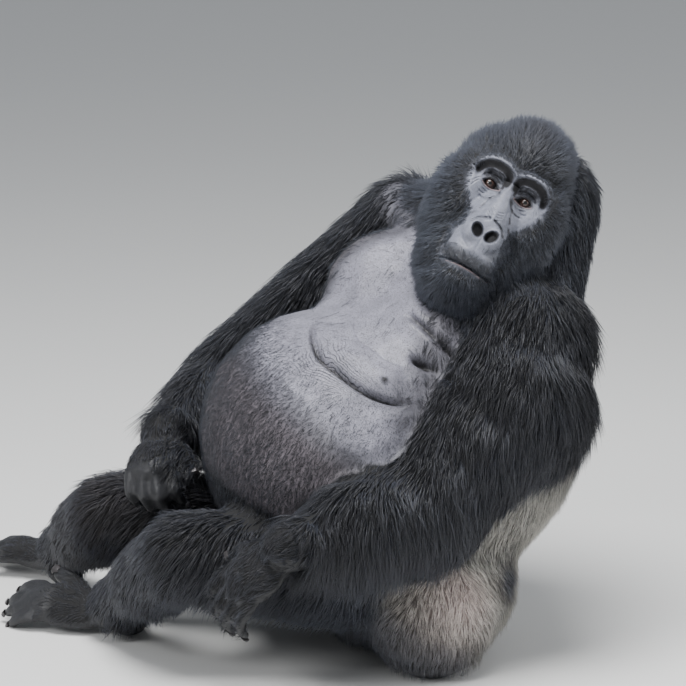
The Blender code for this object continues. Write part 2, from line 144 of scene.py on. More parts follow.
class GorillaSkinSettings(bpy.types.PropertyGroup):
    voxel: length_setting("Voxel", "Size of the cells that the flesh is fused with", 0.0048, min=0.003)
    body_faces: IntProperty(
        name="Body faces", description="Faces left on the body before the face and chest are refined",
        default=100000, min=20000)
    under_coat: share_setting(
        "Skin under coat", "How deep the skin lies under the coat, as a part of the hair's length", 0.27)
    face_colour: colour_setting("Face", "Colour of the bare face", 0.215, 0.226, 0.278)
    chest_colour: colour_setting("Chest", "Colour of the bare chest", 0.205, 0.203, 0.246)
    belly_colour: colour_setting("Belly", "Colour of the thinly haired belly", 0.085, 0.074, 0.085)
    dark_colour: colour_setting(
        "Under the coat", "Colour of the skin that the coat hides", 0.0035, 0.0035, 0.0042)


class GorillaCoatSettings(bpy.types.PropertyGroup):
    locks: FloatProperty(
        name="Locks", description="Locks on each square metre of full coat", default=100000.0, min=1000.0)
    width: length_setting("Width", "Half the width of a lock at its root", 0.0010)
    clump: share_setting("Clump", "How far the tips of neighbouring locks draw together", 0.42)
    seed: IntProperty(name="Seed", description="Seed of the scattering", default=7)
    black: colour_setting("Black hair", "Colour of the black coat", 0.0085, 0.0088, 0.0112)
    silver: colour_setting("Silver hair", "Colour of the silver back", 0.60, 0.58, 0.53)
    brown: colour_setting(
        "Brown hair", "Colour that the coat leans to on the crest and hips", 0.055, 0.038, 0.030)
    tan: colour_setting("Tan hair", "Colour of the thin hair over the point of the hip", 0.52, 0.45, 0.42)


class GorillaEyeSettings(bpy.types.PropertyGroup):
    iris: length_setting("Iris", "Radius of the iris", 0.0073)
    pupil: length_setting("Pupil", "Radius of the pupil", 0.0031)
    iris_colour: colour_setting("Iris colour", "Colour of the iris", 0.036, 0.017, 0.012)
    white_colour: colour_setting("Eyeball", "Colour of the eyeball round the iris", 0.040, 0.026, 0.022)


class GorillaNailSettings(bpy.types.PropertyGroup):
    cell: length_setting("Cell", "Size of the cells that round the nails off", 0.0011, min=0.0005)
    horn_colour: colour_setting("Nails", "Colour of the nails", 0.018, 0.016, 0.017)


class GorillaStageSettings(bpy.types.PropertyGroup):
    distance: length_setting("Camera distance", "From the camera to the middle of the animal", 6.0)
    drop: FloatProperty(
        name="Looking down", description="Angle of the camera's look below level",
        default=math.radians(12.0), subtype="ANGLE")
    lens: FloatProperty(name="Lens", description="Focal length in millimetres", default=181.0)
    target: length_setting("Aim height", "Height that the camera looks at", 0.52)
    floor_colour: colour_setting("Floor", "Colour of the floor", 0.66, 0.66, 0.65)


# ---------------------------------------------------------------- numbers
def arr(vector):
    return np.array(vector[:], dtype=float)


def mm(*points):
    """A list of points whose numbers are given in millimetres, in metres."""
    return [tuple(x / 1000.0 for x in point) for point in points]


def both_sides(half):
    """A closed outline from its half, which starts and ends on the middle line."""
    return half + [(-x, y) for x, y in reversed(half[1:-1])]


def ease(x, low, high):
    """0 below low, 1 above high, and a smooth step between."""
    t = np.clip((x - low) / (high - low), 0.0, 1.0)
    return t * t * (3.0 - 2.0 * t)


def hump(x, width):
    """1 at zero, falling away smoothly over about width on either side."""
    return np.exp(-np.square(x / width))


def unit(vectors):
    return vectors / np.maximum(np.linalg.norm(vectors, axis=1, keepdims=True), 1e-9)


def gap_to(co, *points):
    """How far each place lies from the nearest of the given points."""
    return np.min([np.linalg.norm(co - arr(point), axis=1) for point in points], axis=0)


def measured(co, origin, *ways):
    """How far each place lies from the origin, along each of the ways."""
    rel = co - arr(origin)
    return [rel @ arr(way) for way in ways]


def head_places(co):
    """Left, front and up of each point, from the middle of the eye line."""
    return measured(co, EYE_LINE, FACE_LEFT, FACE_FRONT, FACE_TOP)


def trunk_places(co):
    """Towards the belly, to the left and along the spine, from the middle of the trunk."""
    return measured(co, TRUNK_MID, TO_BELLY, TO_LEFT, ALONG_SPINE)


def nearest_on(points, line):
    """Of each point: how far it lies from a bent line, how far along the line the nearest place on it is,
    from 0 to 1, and that place."""
    line = np.asarray(line, dtype=float)
    lengths = np.linalg.norm(np.diff(line, axis=0), axis=1)
    best = np.full(len(points), 1e9)
    along = np.zeros(len(points))
    nearest = np.zeros_like(points)
    run = 0.0
    for start, end, length in zip(line[:-1], line[1:], lengths):
        way = (end - start) / max(length, 1e-9)
        t = np.clip((points - start) @ way, 0.0, length)
        place = start + t[:, None] * way
        gap = np.linalg.norm(points - place, axis=1)
        near = gap < best
        best = np.where(near, gap, best)
        along = np.where(near, (run + t) / lengths.sum(), along)
        nearest[near] = place[near]
        run += length
    return best, along, nearest


def to_line(points, line):
    return nearest_on(points, line)[:2]


def rounded(points, steps=6):
    """A smooth curve through the given points, by the Catmull-Rom formula."""
    p = np.asarray(points, dtype=float)
    p = np.vstack([2 * p[0] - p[1], p, 2 * p[-1] - p[-2]])
    out = []
    for i in range(1, len(p) - 2):
        for k in range(steps):
            t = k / steps
            a = 2.0 * p[i]
            b = p[i + 1] - p[i - 1]
            c = 2.0 * p[i - 1] - 5.0 * p[i] + 4.0 * p[i + 1] - p[i + 2]
            d = -p[i - 1] + 3.0 * p[i] - 3.0 * p[i + 1] + p[i + 2]
            out.append(0.5 * (a + b * t + c * t * t + d * t * t * t))
    out.append(p[-2])
    return np.array(out)


def inside_by(x, y, outline):
    """How far each point lies inside a closed outline, in metres; negative outside."""
    outline = np.asarray(outline, dtype=float)
    ends = np.roll(outline, -1, axis=0)
    points = np.stack([x, y], axis=1)
    gap, _ = to_line(points, np.vstack([outline, outline[:1]]))
    crossings = np.zeros(len(x), dtype=int)
    for (x0, y0), (x1, y1) in zip(outline, ends):
        if y0 == y1:
            continue
        spans = (y0 > y) != (y1 > y)
        at = x0 + (y - y0) * (x1 - x0) / (y1 - y0)
        crossings += spans & (x < at)
    return np.where(crossings % 2 == 1, gap, -gap)


# ---------------------------------------------------------------- meshes
VECTOR = "FLOAT_VECTOR"      # Blender's name for attributes and values of three numbers


def mesh_object(name, mesh):
    obj = bpy.data.objects.new(name, mesh)
    bpy.context.scene.collection.objects.link(obj)
    return obj


def opened(mesh):
    bm = bmesh.new()
    bm.from_mesh(mesh)
    bm.verts.ensure_lookup_table()
    return bm


def closed(bm, name):
    """Ends the editing of a shape and gives it as a new mesh."""
    mesh = bpy.data.meshes.new(name)
    bm.to_mesh(mesh)
    bm.free()
    return mesh


def shade_smooth(mesh):
    mesh.polygons.foreach_set("use_smooth", [True] * len(mesh.polygons))


def evaluated_mesh(obj, name):
    """The object's mesh with its modifiers applied, as a new plain mesh; the object is removed."""
    graph = bpy.context.evaluated_depsgraph_get()
    graph.update()
    mesh = bpy.data.meshes.new_from_object(obj.evaluated_get(graph))
    mesh.name = name
    bpy.data.objects.remove(obj, do_unlink=True)
    return mesh


def pull(items, name, width=1, kind=np.int32):
    """One property of every item, as a row of numbers for each."""
    out = np.empty(len(items) * width, dtype=kind)
    items.foreach_get(name, out)
    return out.reshape(-1, width) if width > 1 else out


def places_of(mesh):
    return pull(mesh.vertices, "co", 3, np.float32).astype(float)


def set_places(mesh, co):
    mesh.vertices.foreach_set("co", co.astype(np.float32).ravel())
    mesh.update()


def normals_of(mesh):
    return pull(mesh.vertex_normals, "vector", 3, np.float32).astype(float)


class Spreader:
    """Averages values over the edges of a mesh."""

    def __init__(self, mesh):
        edges = pull(mesh.edges, "vertices", 2)
        self.count = len(mesh.vertices)
        self.source = np.concatenate([edges[:, 0], edges[:, 1]])
        self.target = np.concatenate([edges[:, 1], edges[:, 0]])
        self.valence = np.maximum(np.bincount(self.target, minlength=self.count), 1)

    def average(self, values):
        if values.ndim == 1:
            return np.bincount(self.target, values[self.source], self.count) / self.valence
        parts = [self.average(values[:, k]) for k in range(values.shape[1])]
        return np.stack(parts, axis=1)

    def spread(self, values, passes, weight=0.5):
        for _ in range(passes):
            values = values + (self.average(values) - values) * weight
        return values

    def relax(self, co, weight, passes):
        """Smooths places without shrinking them: each pass smooths, then swells back."""
        w = weight[:, None]
        for _ in range(passes):
            co = co + (self.average(co) - co) * w * 0.52
            co = co - (self.average(co) - co) * w * 0.53
        return co


def frame_matrix(x, y, z):
    return Matrix((x, y, z)).transposed().to_4x4()


HEAD_TURN = frame_matrix(-FACE_LEFT, FACE_FRONT, FACE_TOP)


def face(left, front, top):
    """A point given from the middle of the eye line, along the head's own directions."""
    return EYE_LINE + FACE_LEFT * left + FACE_FRONT * front + FACE_TOP * top


def blob(bm, centre, radii, turn=None, detail=4):
    size = Matrix.Diagonal((radii[0], radii[1], radii[2], 1.0))
    turn = turn if turn is not None else Matrix.Identity(4)
    bmesh.ops.create_icosphere(
        bm, subdivisions=detail, radius=1.0, matrix=Matrix.Translation(centre) @ turn @ size)


def taper(bm, start, end, start_radius, end_radius, detail=3):
    blob(bm, start, (start_radius,) * 3, None, detail)
    blob(bm, end, (end_radius,) * 3, None, detail)
    run = end - start
    turn = run.to_track_quat("Z", "Y").to_matrix().to_4x4()
    bmesh.ops.create_cone(
        bm, cap_ends=True, cap_tris=True, segments=32, radius1=start_radius, radius2=end_radius,
        depth=run.length, matrix=Matrix.Translation((start + end) / 2.0) @ turn)


def chain(bm, points, radii):
    for a, b, ra, rb in zip(points[:-1], points[1:], radii[:-1], radii[1:]):
        taper(bm, a, b, ra, rb)


def add_node(bm, name, grow):
    """A CAD node's shape, merged and pushed out by grow so that neighbours fuse."""
    part = opened(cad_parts[name].data)
    bmesh.ops.remove_doubles(part, verts=part.verts[:], dist=1e-6)
    bmesh.ops.recalc_face_normals(part, faces=part.faces[:])
    part.normal_update()
    for vert in part.verts:
        vert.co += vert.normal * grow
    mesh = closed(part, "part")
    bm.from_mesh(mesh)
    bpy.data.meshes.remove(mesh)


# ---------------------------------------------------------------- the skin's whole form
BROW_RIDGE = mm((0, 4.8, 28.9), (21.2, 8.7, 34.5), (40.5, 4.8, 36.5), (55, -4.8, 31.5), (65.7, -19.3, 14),
                (66, -32.8, -11.5))
BROW_RADII = [0.0125, 0.0135, 0.0135, 0.0130, 0.0125, 0.0120]
EAR_SET_IN = 0.006       # how far the ears are moved towards the head, and back
EAR_SET_BACK = 0.004
EAR_HALF_LENGTH = 0.0135
EAR_HALF_HEIGHT = 0.0215
EAR_RIM = 0.0052
EAR_RIM_STEPS = 11


# rounded masses of the head, place and then radii, both to the side, to the front and up, in millimetres
BRAINCASE = (
    mm((0, -130, 20), (110, 128, 106)),
    mm((8, -118, 64), (81, 112, 81)),       # the crest leans to its left and back
    mm((46, -178, 56), (62, 76, 68)),
    mm((0, -70, -10), (86, 61, 62)),
)
CHEEK = (
    mm((60, -78, -45), (61, 85, 110)),
    mm((43, -58, -126), (51, 75, 78)),
    mm((52, -22, -30), (30, 26, 24)),
    mm((18, 43, -86), (20, 20, 25)),        # the wing of the nose
)
MUZZLE = (
    mm((0, 0, -101.3), (55, 59.8, 56)),
    mm((0, 28.9, -123.5), (48.3, 35.7, 28.9)),
    mm((0, 17.4, -160.2), (43.4, 41.5, 28.9)),
    mm((0, -45, -168), (70, 84, 66)),
)
NOSE_BRIDGE = mm((0, -5.8, 13.5), (0, 28.9, -57.9))
NOSE_BRIDGE_RADII = (0.0130, 0.0207)


def head_form(bm):
    """The bare head in rounded masses: braincase and crest, cheeks, brow ridge, nose, muzzle and chin."""

    def masses(parts, side=1.0):
        for (left, front, top), radii in parts:
            blob(bm, face(side * left, front, top), radii, HEAD_TURN)

    masses(BRAINCASE)
    for side in (-1.0, 1.0):
        masses(CHEEK, side)
        chain(bm, [face(side * left, front, top) for left, front, top in BROW_RIDGE], BROW_RADII)
    taper(bm, *(face(*place) for place in NOSE_BRIDGE), *NOSE_BRIDGE_RADII)
    masses(MUZZLE)


def ear_form(bm, side):
    """A small rounded ear: a curled rim round a hollow, with a lobe."""
    middle = box_middle("ear_left" if side > 0.0 else "ear_right")
    middle = middle - FACE_LEFT * side * EAR_SET_IN - FACE_FRONT * EAR_SET_BACK
    out = (FACE_LEFT * side * 0.86 + FACE_FRONT * 0.50).normalized()
    up = (FACE_TOP - out * FACE_TOP.dot(out)).normalized()
    forward = (FACE_FRONT - out * FACE_FRONT.dot(out) - up * FACE_FRONT.dot(up)).normalized()
    rim = []
    for step in range(EAR_RIM_STEPS):
        turn = math.radians(-62.0 + step * 29.0)
        reach = 1.0 + 0.06 * math.sin(turn * 2.0)
        along = forward * EAR_HALF_LENGTH * math.cos(turn) * reach
        rim.append(middle - along + up * EAR_HALF_HEIGHT * math.sin(turn) * reach)
    chain(bm, rim, [EAR_RIM] * len(rim))
    blob(bm, middle - out * 0.0050, (0.0145, 0.0225, 0.0060), frame_matrix(up.cross(out), up, out))
    blob(bm, middle - up * 0.019 + forward * 0.004, (0.0085,) * 3)
    blob(bm, middle + forward * 0.0125 - up * 0.003, (0.0060,) * 3)
    blob(bm, middle - out * 0.012, (0.013,) * 3)


def fused(bm, voxel, name):
    """The shape rebuilt as one closed surface of even cells."""
    obj = mesh_object(name, closed(bm, "form"))
    remesh = obj.modifiers.new("Fuse", "REMESH")
    remesh.mode = "VOXEL"
    remesh.voxel_size = voxel
    return obj


def drop_loose(mesh):
    """Keeps only the largest connected part of a mesh."""
    spreader = Spreader(mesh)
    label = np.arange(spreader.count)
    while True:
        new = label.copy()
        np.minimum.at(new, spreader.target, label[spreader.source])
        new = new[new]
        if np.array_equal(new, label):
            break
        label = new
    names, counts = np.unique(label, return_counts=True)
    if len(names) == 1:
        return
    keep = names[np.argmax(counts)]
    bm = opened(mesh)
    bmesh.ops.delete(bm, geom=[bm.verts[i] for i in np.nonzero(label != keep)[0]], context="VERTS")
    bm.to_mesh(mesh)
    bm.free()


def region_finder():
    """A function that tells which flesh node lies nearest to each point."""
    points, faces, owner = [], [], []
    for index, name in enumerate(FLESH):
        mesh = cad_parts[name].data
        mesh.calc_loop_triangles()
        base = len(points)
        points.extend(vert.co.copy() for vert in mesh.vertices)
        faces.extend([base + k for k in tri.vertices] for tri in mesh.loop_triangles)
        owner.extend([index] * len(mesh.loop_triangles))
    tree = BVHTree.FromPolygons(points, faces)
    return lambda co: np.array([owner[tree.find_nearest(place)[2]] for place in co])


# ---------------------------------------------------------------- the lie of the coat and the markings
# of each flesh node: hair length, lift of the hair from the skin, and how much of the full coat grows there
HAIR = {
    "head": (0.024, 0.50, 1.00),
    "ear": (0.004, 0.30, 0.0),
    "neck": (0.031, 0.46, 1.00),
    "chest": (0.034, 0.40, 1.00),
    "belly": (0.024, 0.36, 0.95),
    "pelvis": (0.021, 0.38, 0.95),
    "upper_arm": (0.060, 0.38, 0.95),
    "forearm": (0.068, 0.38, 0.95),
    "hand": (0.017, 0.34, 0.85),
    "thigh": (0.048, 0.36, 0.90),
    "shank": (0.044, 0.36, 0.90),
    "foot": (0.014, 0.34, 0.80),
}

# of each part of a limb: how far its hair follows the bone and how far it hangs
LIMB_COMB = {
    "upper_arm": (0.60, 0.70), "forearm": (0.20, 1.00), "hand": (1.00, 0.10),
    "thigh": (0.60, 0.80), "shank": (0.80, 0.50), "foot": (1.00, 0.10),
}
LIMB_JOINTS = {
    "_left": (SHOULDER_L, ELBOW_L, WRIST_L, HIP_L, KNEE_L, ANKLE_L),
    "_right": (SHOULDER_R, ELBOW_R, WRIST_R, HIP_R, KNEE_R, ANKLE_R),
}
BELLY_COMB = (-0.60, -0.10, -0.75)

HEAD_GREY = 0.027       # how far the hair of the head leans to the silver

# places on the trunk: towards the belly, to the left, along the spine
NAPE = (0.030, -0.270, 0.325)
LAP = (0.190, -0.172, -0.312)
WRIST_TOP = (0.278, -0.095, -0.258)
HIP_POINT = (0.001, 0.366, -0.143)
HIP_SHADOW = (-0.129, 0.302, -0.105)

# the bare chest's area: to the left and along the spine
CHEST_RIGHT = -0.150
CHEST_LEFT = 0.275
CHEST_LOW = -0.03
CHEST_TOP = 0.30

# the edge of the bare face, to the left and up from the middle of the eye line
FACE_EDGE = mm((0, 29), (8, 38.5), (20, 45.5), (40, 46.5), (52, 43), (63, 33), (71, 12), (70, -8), (64, -24),
               (50, -41), (40.5, -55), (40.5, -74), (48, -97), (50, -118), (50, -135), (48, -144),
               (30, -149.5), (0, -150.5))


def kind_of(name):
    return name.replace("_left", "").replace("_right", "")


def bare_face(left, front, top):
    """How far inside the bare face each point lies, in metres."""
    inside = inside_by(left, top, both_sides(FACE_EDGE))
    inside = inside - 0.009 * ease(left, 0.022, 0.040) * ease(-top, 0.045, 0.075)
    return np.where(front > -0.062, inside, -0.05)


class Markings:
    """Hair and colour at each point of the skin, worked out from where the point lies."""

    def __init__(self, co, normals, node, spreader):
        self.co = co
        self.node = node
        table = np.array([HAIR[kind_of(name)] for name in FLESH])
        self.length, self.lift, self.cover = spreader.spread(table[node], 14).T
        self.left, self.front, self.top = head_places(co)
        self.belly, self.side, self.spine = trunk_places(co)
        self.trunk = np.stack([self.belly, self.side, self.spine], axis=1)
        self.round = np.degrees(np.arctan2(np.abs(self.side), self.belly))
        self.is_head = self.mask("head")
        self.is_trunk = self.mask("chest", "belly", "neck", "pelvis")
        self.is_barrel = self.mask("chest", "belly")
        self.face_inside = np.where(self.is_head, bare_face(self.left, self.front, self.top), -0.05)
        self.head_hair()
        self.trunk_hair()
        self.neck_and_lap_hair()
        self.limb_hair(normals)
        self.colours(spreader)
        self.comb(normals, spreader)

    def mask(self, *kinds):
        wanted = [kind_of(name) in kinds for name in FLESH]
        return np.array(wanted)[self.node]

    def patch(self, place, width, *kinds):
        """1 at a place of the trunk, fading over width, on the given kinds of node only."""
        return hump(gap_to(self.trunk, place), width) * self.mask(*kinds)

    def head_hair(self):
        """Short hair on the brow, longer on crest and cheeks, stubble round the lips, none on the face."""
        crown = 0.016 + 0.008 * ease(self.top, 0.02, 0.12)
        cheek = 0.016 + 0.006 * ease(-self.top, 0.02, 0.14)
        length = np.where(self.top > 0.02, crown, cheek)
        from_ears = gap_to(self.co, box_middle("ear_left"), box_middle("ear_right"))
        length = length + 0.006 * hump(from_ears, 0.035)
        length = length + 0.018 * ease(-self.front, 0.06, 0.15)
        near = 0.42 + 0.58 * ease(-self.face_inside, 0.0, 0.034)
        self.length = np.where(self.is_head, length * near, self.length)
        self.cover = np.where(self.is_head, self.cover * ease(-self.face_inside, -0.006, 0.000), self.cover)
        chin = ease(-self.top, 0.112, 0.132)
        lip_side = 0.6 * hump(self.left - 0.030, 0.012) * ease(-self.top, 0.080, 0.110)
        self.stubble = self.is_head * ease(self.face_inside, -0.004, 0.004) * np.maximum(chin, lip_side)
        self.cover = np.maximum(self.cover, 0.42 * self.stubble)
        self.length = np.where(self.stubble > 0.3, 0.0055, self.length)
        flatter = 1.0 - ease(-self.face_inside, 0.0, 0.03)
        self.lift = np.where(self.is_head, 0.50 - 0.16 * flatter, self.lift)

    def trunk_hair(self):
        """Bare chest, fine short hair on the belly, a short saddle on the back."""
        across = np.minimum(self.side - CHEST_RIGHT, CHEST_LEFT - self.side)
        up = np.minimum(self.spine - CHEST_LOW, CHEST_TOP - self.spine)
        in_front = self.belly > 0.0
        self.chest_inside = np.where(in_front, np.minimum(across, up), -0.1)
        self.toward_arm = ease(self.side + 0.8 * (self.spine - 0.03), 0.215, 0.270)
        bare = in_front * ease(self.side - CHEST_RIGHT, -0.02, 0.03) * (1.0 - self.toward_arm)
        bare = bare * ease(self.spine - 0.035, -0.030, 0.030) * ease(0.285 - self.spine, 0.0, 0.07)
        below = (0.05 - self.spine) - 0.35 * self.side
        rim = ease(self.round, 35.0, 85.0)
        fine = np.maximum(0.22 + 0.78 * ease(below, -0.02, 0.13), np.maximum(rim, 0.45 * self.toward_arm))
        self.cover = np.where(self.is_barrel & in_front, fine * (1.0 - 0.92 * bare), self.cover)
        short = 0.0115 + 0.020 * ease(self.round, 45.0, 100.0)
        right_shoulder = ease(self.round, 38.0, 60.0) * ease(self.spine, 0.13, 0.24) * (self.side < 0.0)
        short = short + 0.018 * right_shoulder
        short = short + 0.003 * self.toward_arm * ease(self.spine, 0.06, 0.16)
        saddle = short - 0.010 * ease(self.round, 110.0, 150.0) * ease(0.16 - self.spine, 0.0, 0.1)
        self.length = np.where(self.is_barrel, np.minimum(saddle, self.length), self.length)

    def neck_and_lap_hair(self):
        """Thin hair at the throat's side, long on nape, lap and wrist, short inside the arm."""
        throat, _ = to_line(self.trunk, THROAT_SIDE)
        self.throat = hump(throat, 0.045) * self.mask("neck", "chest", "upper_arm")
        nape = self.patch(NAPE, 0.060, "neck", "chest", "upper_arm")
        inner_arm = hump(self.belly + 0.02, 0.10) * hump(self.spine + 0.03, 0.13) * (self.side > 0.25)
        lap = self.patch(LAP, 0.075, "thigh")
        wrist = self.patch(WRIST_TOP, 0.045, "hand")
        self.cover = self.cover * (1.0 - 0.72 * self.throat)
        self.length = self.length * (1.0 - 0.62 * self.throat) + 0.012 * nape
        self.length = self.length * (1.0 - 0.50 * inner_arm * self.mask("upper_arm", "forearm"))
        self.length = self.length + 0.038 * lap + 0.030 * wrist
        self.lift = self.lift + 0.14 * nape + 0.60 * lap + 0.30 * wrist

    def limb_hair(self, normals):
        """Palms, soles and the ends of the digits are bare."""
        downward = ease(-normals[:, 2], -0.1, 0.4)
        hand_l = (self.co - arr(WRIST_L)) @ arr((WRIST_L - ELBOW_L).normalized())
        hand_r = (self.co - arr(WRIST_R)) @ arr((WRIST_R - ELBOW_R).normalized())
        reach = np.where(self.side > 0.0, hand_l, hand_r)
        hand = (1.0 - ease(reach, 0.080, 0.125)) * (1.0 - 0.8 * downward)
        foot = (1.0 - ease(gap_to(self.co, ANKLE_L, ANKLE_R), 0.09, 0.15)) * (1.0 - downward)
        self.cover = np.where(self.mask("hand"), self.cover * hand, self.cover)
        self.cover = np.where(self.mask("foot"), self.cover * foot, self.cover)
        self.cover = np.where(self.mask("ear"), 0.0, self.cover)
        self.cover = self.cover * ease(self.co[:, 2] + 0.03 * normals[:, 2], 0.004, 0.022)

    def colours(self, spreader):
        """Masks from 0 to 1: pale chest, belly, bare skin, face, silver, tan and brown hair."""
        self.pale = ease(self.chest_inside, -0.045, 0.035) * self.is_trunk * (1.0 - 0.58 * self.toward_arm)
        self.pale = np.maximum(self.pale, 0.60 * self.throat)
        front = (self.belly > 0.0) & self.is_barrel
        self.tinge = ease(75.0 - self.round, 0.0, 40.0) * front * (1.0 - self.pale)
        self.bare = np.clip(1.0 - self.cover * 1.6, 0.0, 1.0)
        self.facial = self.is_head * ease(self.face_inside, -0.012, 0.004)
        self.tan = self.patch(HIP_POINT, 0.065, "pelvis")
        hips = self.mask("pelvis") * ease(self.round, 50.0, 80.0)
        low = (1.0 - ease(self.spine + 0.200, -0.010, 0.050)) * ease(118.0 - self.round, 0.0, 20.0)
        thigh = self.mask("thigh") * 0.35 * ease(0.22 - gap_to(self.co, HIP_L, HIP_R), 0.06, 0.16)
        flank = ease(self.round, 84.0, 104.0) * ease(0.17 - self.spine, 0.0, 0.16)
        grizzle = HEAD_GREY * (0.6 + 1.9 * ease(-self.top, -0.01, 0.06))
        silver = np.where(self.is_barrel, flank, np.maximum(hips * (1.0 - 0.80 * low), thigh))
        silver = np.where(self.mask("neck"), 1.6 * HEAD_GREY, np.where(self.is_head, grizzle, silver))
        self.silver = spreader.spread(silver, 10) * (1.0 - hump(gap_to(self.trunk, HIP_SHADOW), 0.050))
        crest = self.is_head * ease(self.top, 0.07, 0.14) * 0.2
        knee = self.mask("thigh", "shank") * 0.20 * hump(gap_to(self.co, KNEE_R), 0.16)
        self.brown = spreader.spread(np.maximum(np.maximum(crest, knee), hips * 0.45), 6)

    def ways(self):
        """The way that the hair of each node or kind of node is combed."""
        sideways = np.outer(np.tanh(self.left / 0.04), arr(FACE_LEFT)) * 0.30
        upward = 0.85 * ease(self.top, 0.005, 0.030) * ease(0.150 - self.top, 0.0, 0.06)
        upward = upward - 1.05 * ease(-self.top, -0.03, 0.045)
        tailwards = arr(-ALONG_SPINE)
        ways = {
            "head": arr(-FACE_FRONT) * 0.75 + sideways + np.outer(upward, arr(FACE_TOP)),
            "ear": arr(-FACE_FRONT),
            "neck": tailwards * 0.9 + np.outer(np.sign(self.side), arr(TO_LEFT)) * 0.25 + arr(DOWN) * 0.3,
            "chest": tailwards * 0.8 + np.outer(np.tanh(self.side / 0.06), arr(TO_LEFT)) * 0.35,
            "belly": np.where(
                (self.belly > 0.0)[:, None], np.array(BELLY_COMB),
                tailwards * 0.6 + np.outer(np.tanh(self.side / 0.08), arr(TO_LEFT)) * 0.35),
            "pelvis": tailwards * 0.3 + arr(DOWN) * 0.8,
        }
        for side, (shoulder, elbow, wrist, hip, knee, ankle) in LIMB_JOINTS.items():
            bones = {"upper_arm": (shoulder, elbow), "forearm": (elbow, wrist), "hand": (elbow, wrist),
                     "thigh": (hip, knee), "shank": (knee, ankle), "foot": (knee, ankle)}
            for kind, (start, end) in bones.items():
                reach, hang = LIMB_COMB[kind]
                ways[kind + side] = arr((end - start).normalized()) * reach + arr(DOWN) * hang
        return ways

    def comb(self, normals, spreader):
        """The way that the hair lies, in the skin's own plane."""
        ways = self.ways()
        way = np.zeros_like(self.co)
        for index, name in enumerate(FLESH):
            chosen = self.node == index
            value = ways.get(name, ways.get(kind_of(name)))
            way[chosen] = value[chosen] if value.ndim == 2 else value
        way = spreader.spread(way, 30)
        self.way = unit(way - normals * np.sum(way * normals, axis=1, keepdims=True))


# ---------------------------------------------------------------- the folds of the face
EYE_OPENING = mm((-17, 0), (-13.5, 3.9), (-8.2, 7.1), (-1, 8.3), (5.8, 6.4), (11.6, 2.3), (17, -2.5),
                 (11.6, -5), (4.8, -6.6), (-1.9, -6.8), (-8.7, -5.6), (-14, -2.9))
EYE_OPENING_MIDDLE = (0.0309, -0.0010)
EYE_OPENING_DEPTH = 0.0058
LID_THICKNESS = 0.0021
UPPER_LID_EXTRA = 0.0014
LID_BLEND = 0.0030
NOSTRIL = (0.0132, -0.0812)
NOSTRIL_RADII = (0.0109, 0.0146)
NOSTRIL_LEAN = math.radians(37.0)
NOSTRIL_DEPTH = 0.0150
MOUTH = mm((-48, -150), (-34, -147.2), (-18, -144.8), (-2.4, -144), (13.5, -144), (31.8, -145.8),
           (45.4, -145.5), (56, -143.5))
MOUTH_DEPTH = 0.0090
MOUTH_WIDTH = 0.0018
# of each roll along the mouth: how high it rises, how far from the mouth's line its crest runs, and its width
UPPER_LIP_ROLL = (0.0026, 0.0065, 0.0050)
LOWER_LIP_ROLL = (0.0030, 0.0048, 0.0036)
CHIN_GROOVE = (-0.0020, 0.0150, 0.0050)

# the hollow under the brow ridge, the ridge's own arc, the corner by the nose and the bag below the eye
BROW_HOLLOW_DEPTH = 0.0125
BROW_HOLLOW_WIDTH = 0.0080
BROW_CREST_RISE = 0.0042
BROW_CREST_WIDTH = 0.0042
EYE_CORNER_DEPTH = 0.0022
EYE_BAG_RISE = 0.0014
EYE_BAG_WIDTH = 0.0045
BROW_HOLLOW = mm((12, 1), (8.5, 12), (9.2, 23), (16, 29), (28, 32), (42, 31), (54.5, 25.5), (61.2, 15),
                 (60.5, 5), (55.5, -1))
BROW_ARC = mm((0, 30), (10, 37), (20, 40.5), (38, 41), (55, 36), (67, 25.5), (72.5, 12))
# how far forward the middle of the face stands, from between the eyes down to the nose, and how it falls away
BRIDGE_TOPS = (-0.090, -0.070, -0.058, -0.043, -0.029, -0.012, 0.002, 0.016)
BRIDGE_FRONTS = (0.054, 0.053, 0.050, 0.042, 0.031, 0.019, 0.011, 0.012)
BRIDGE_FALLS = (0.010, 0.010, 0.010, 0.010, 0.011, 0.016, 0.018, 0.020)
BRIDGE_CURVES = (1.5, 1.5, 1.45, 1.4, 1.2, 0.9, 0.9, 0.9)
NOSE_HALF = mm((0, -52), (17.4, -56), (29, -68), (33, -83), (32.5, -97), (22, -110), (0, -116))
NOSE_PAD = both_sides(NOSE_HALF)
NOSE_PAD_RISE = 0.0022

SNAP_REACH = 0.00036     # points this near the eye's opening are drawn onto it
GROOVE_GAIN = 1.35       # how much deeper every groove of the face is cut than its own depth
NOSE_FOLD_GAIN = 1.15    # how much of the grooves is cut again over the bridge and nose


def joined(f, shell, blend):
    """The farther forward of two surfaces, melted together where they cross."""
    mix = np.clip(0.5 + 0.5 * (shell - f) / blend, 0.0, 1.0)
    return f * (1.0 - mix) + shell * mix + blend * mix * (1.0 - mix)


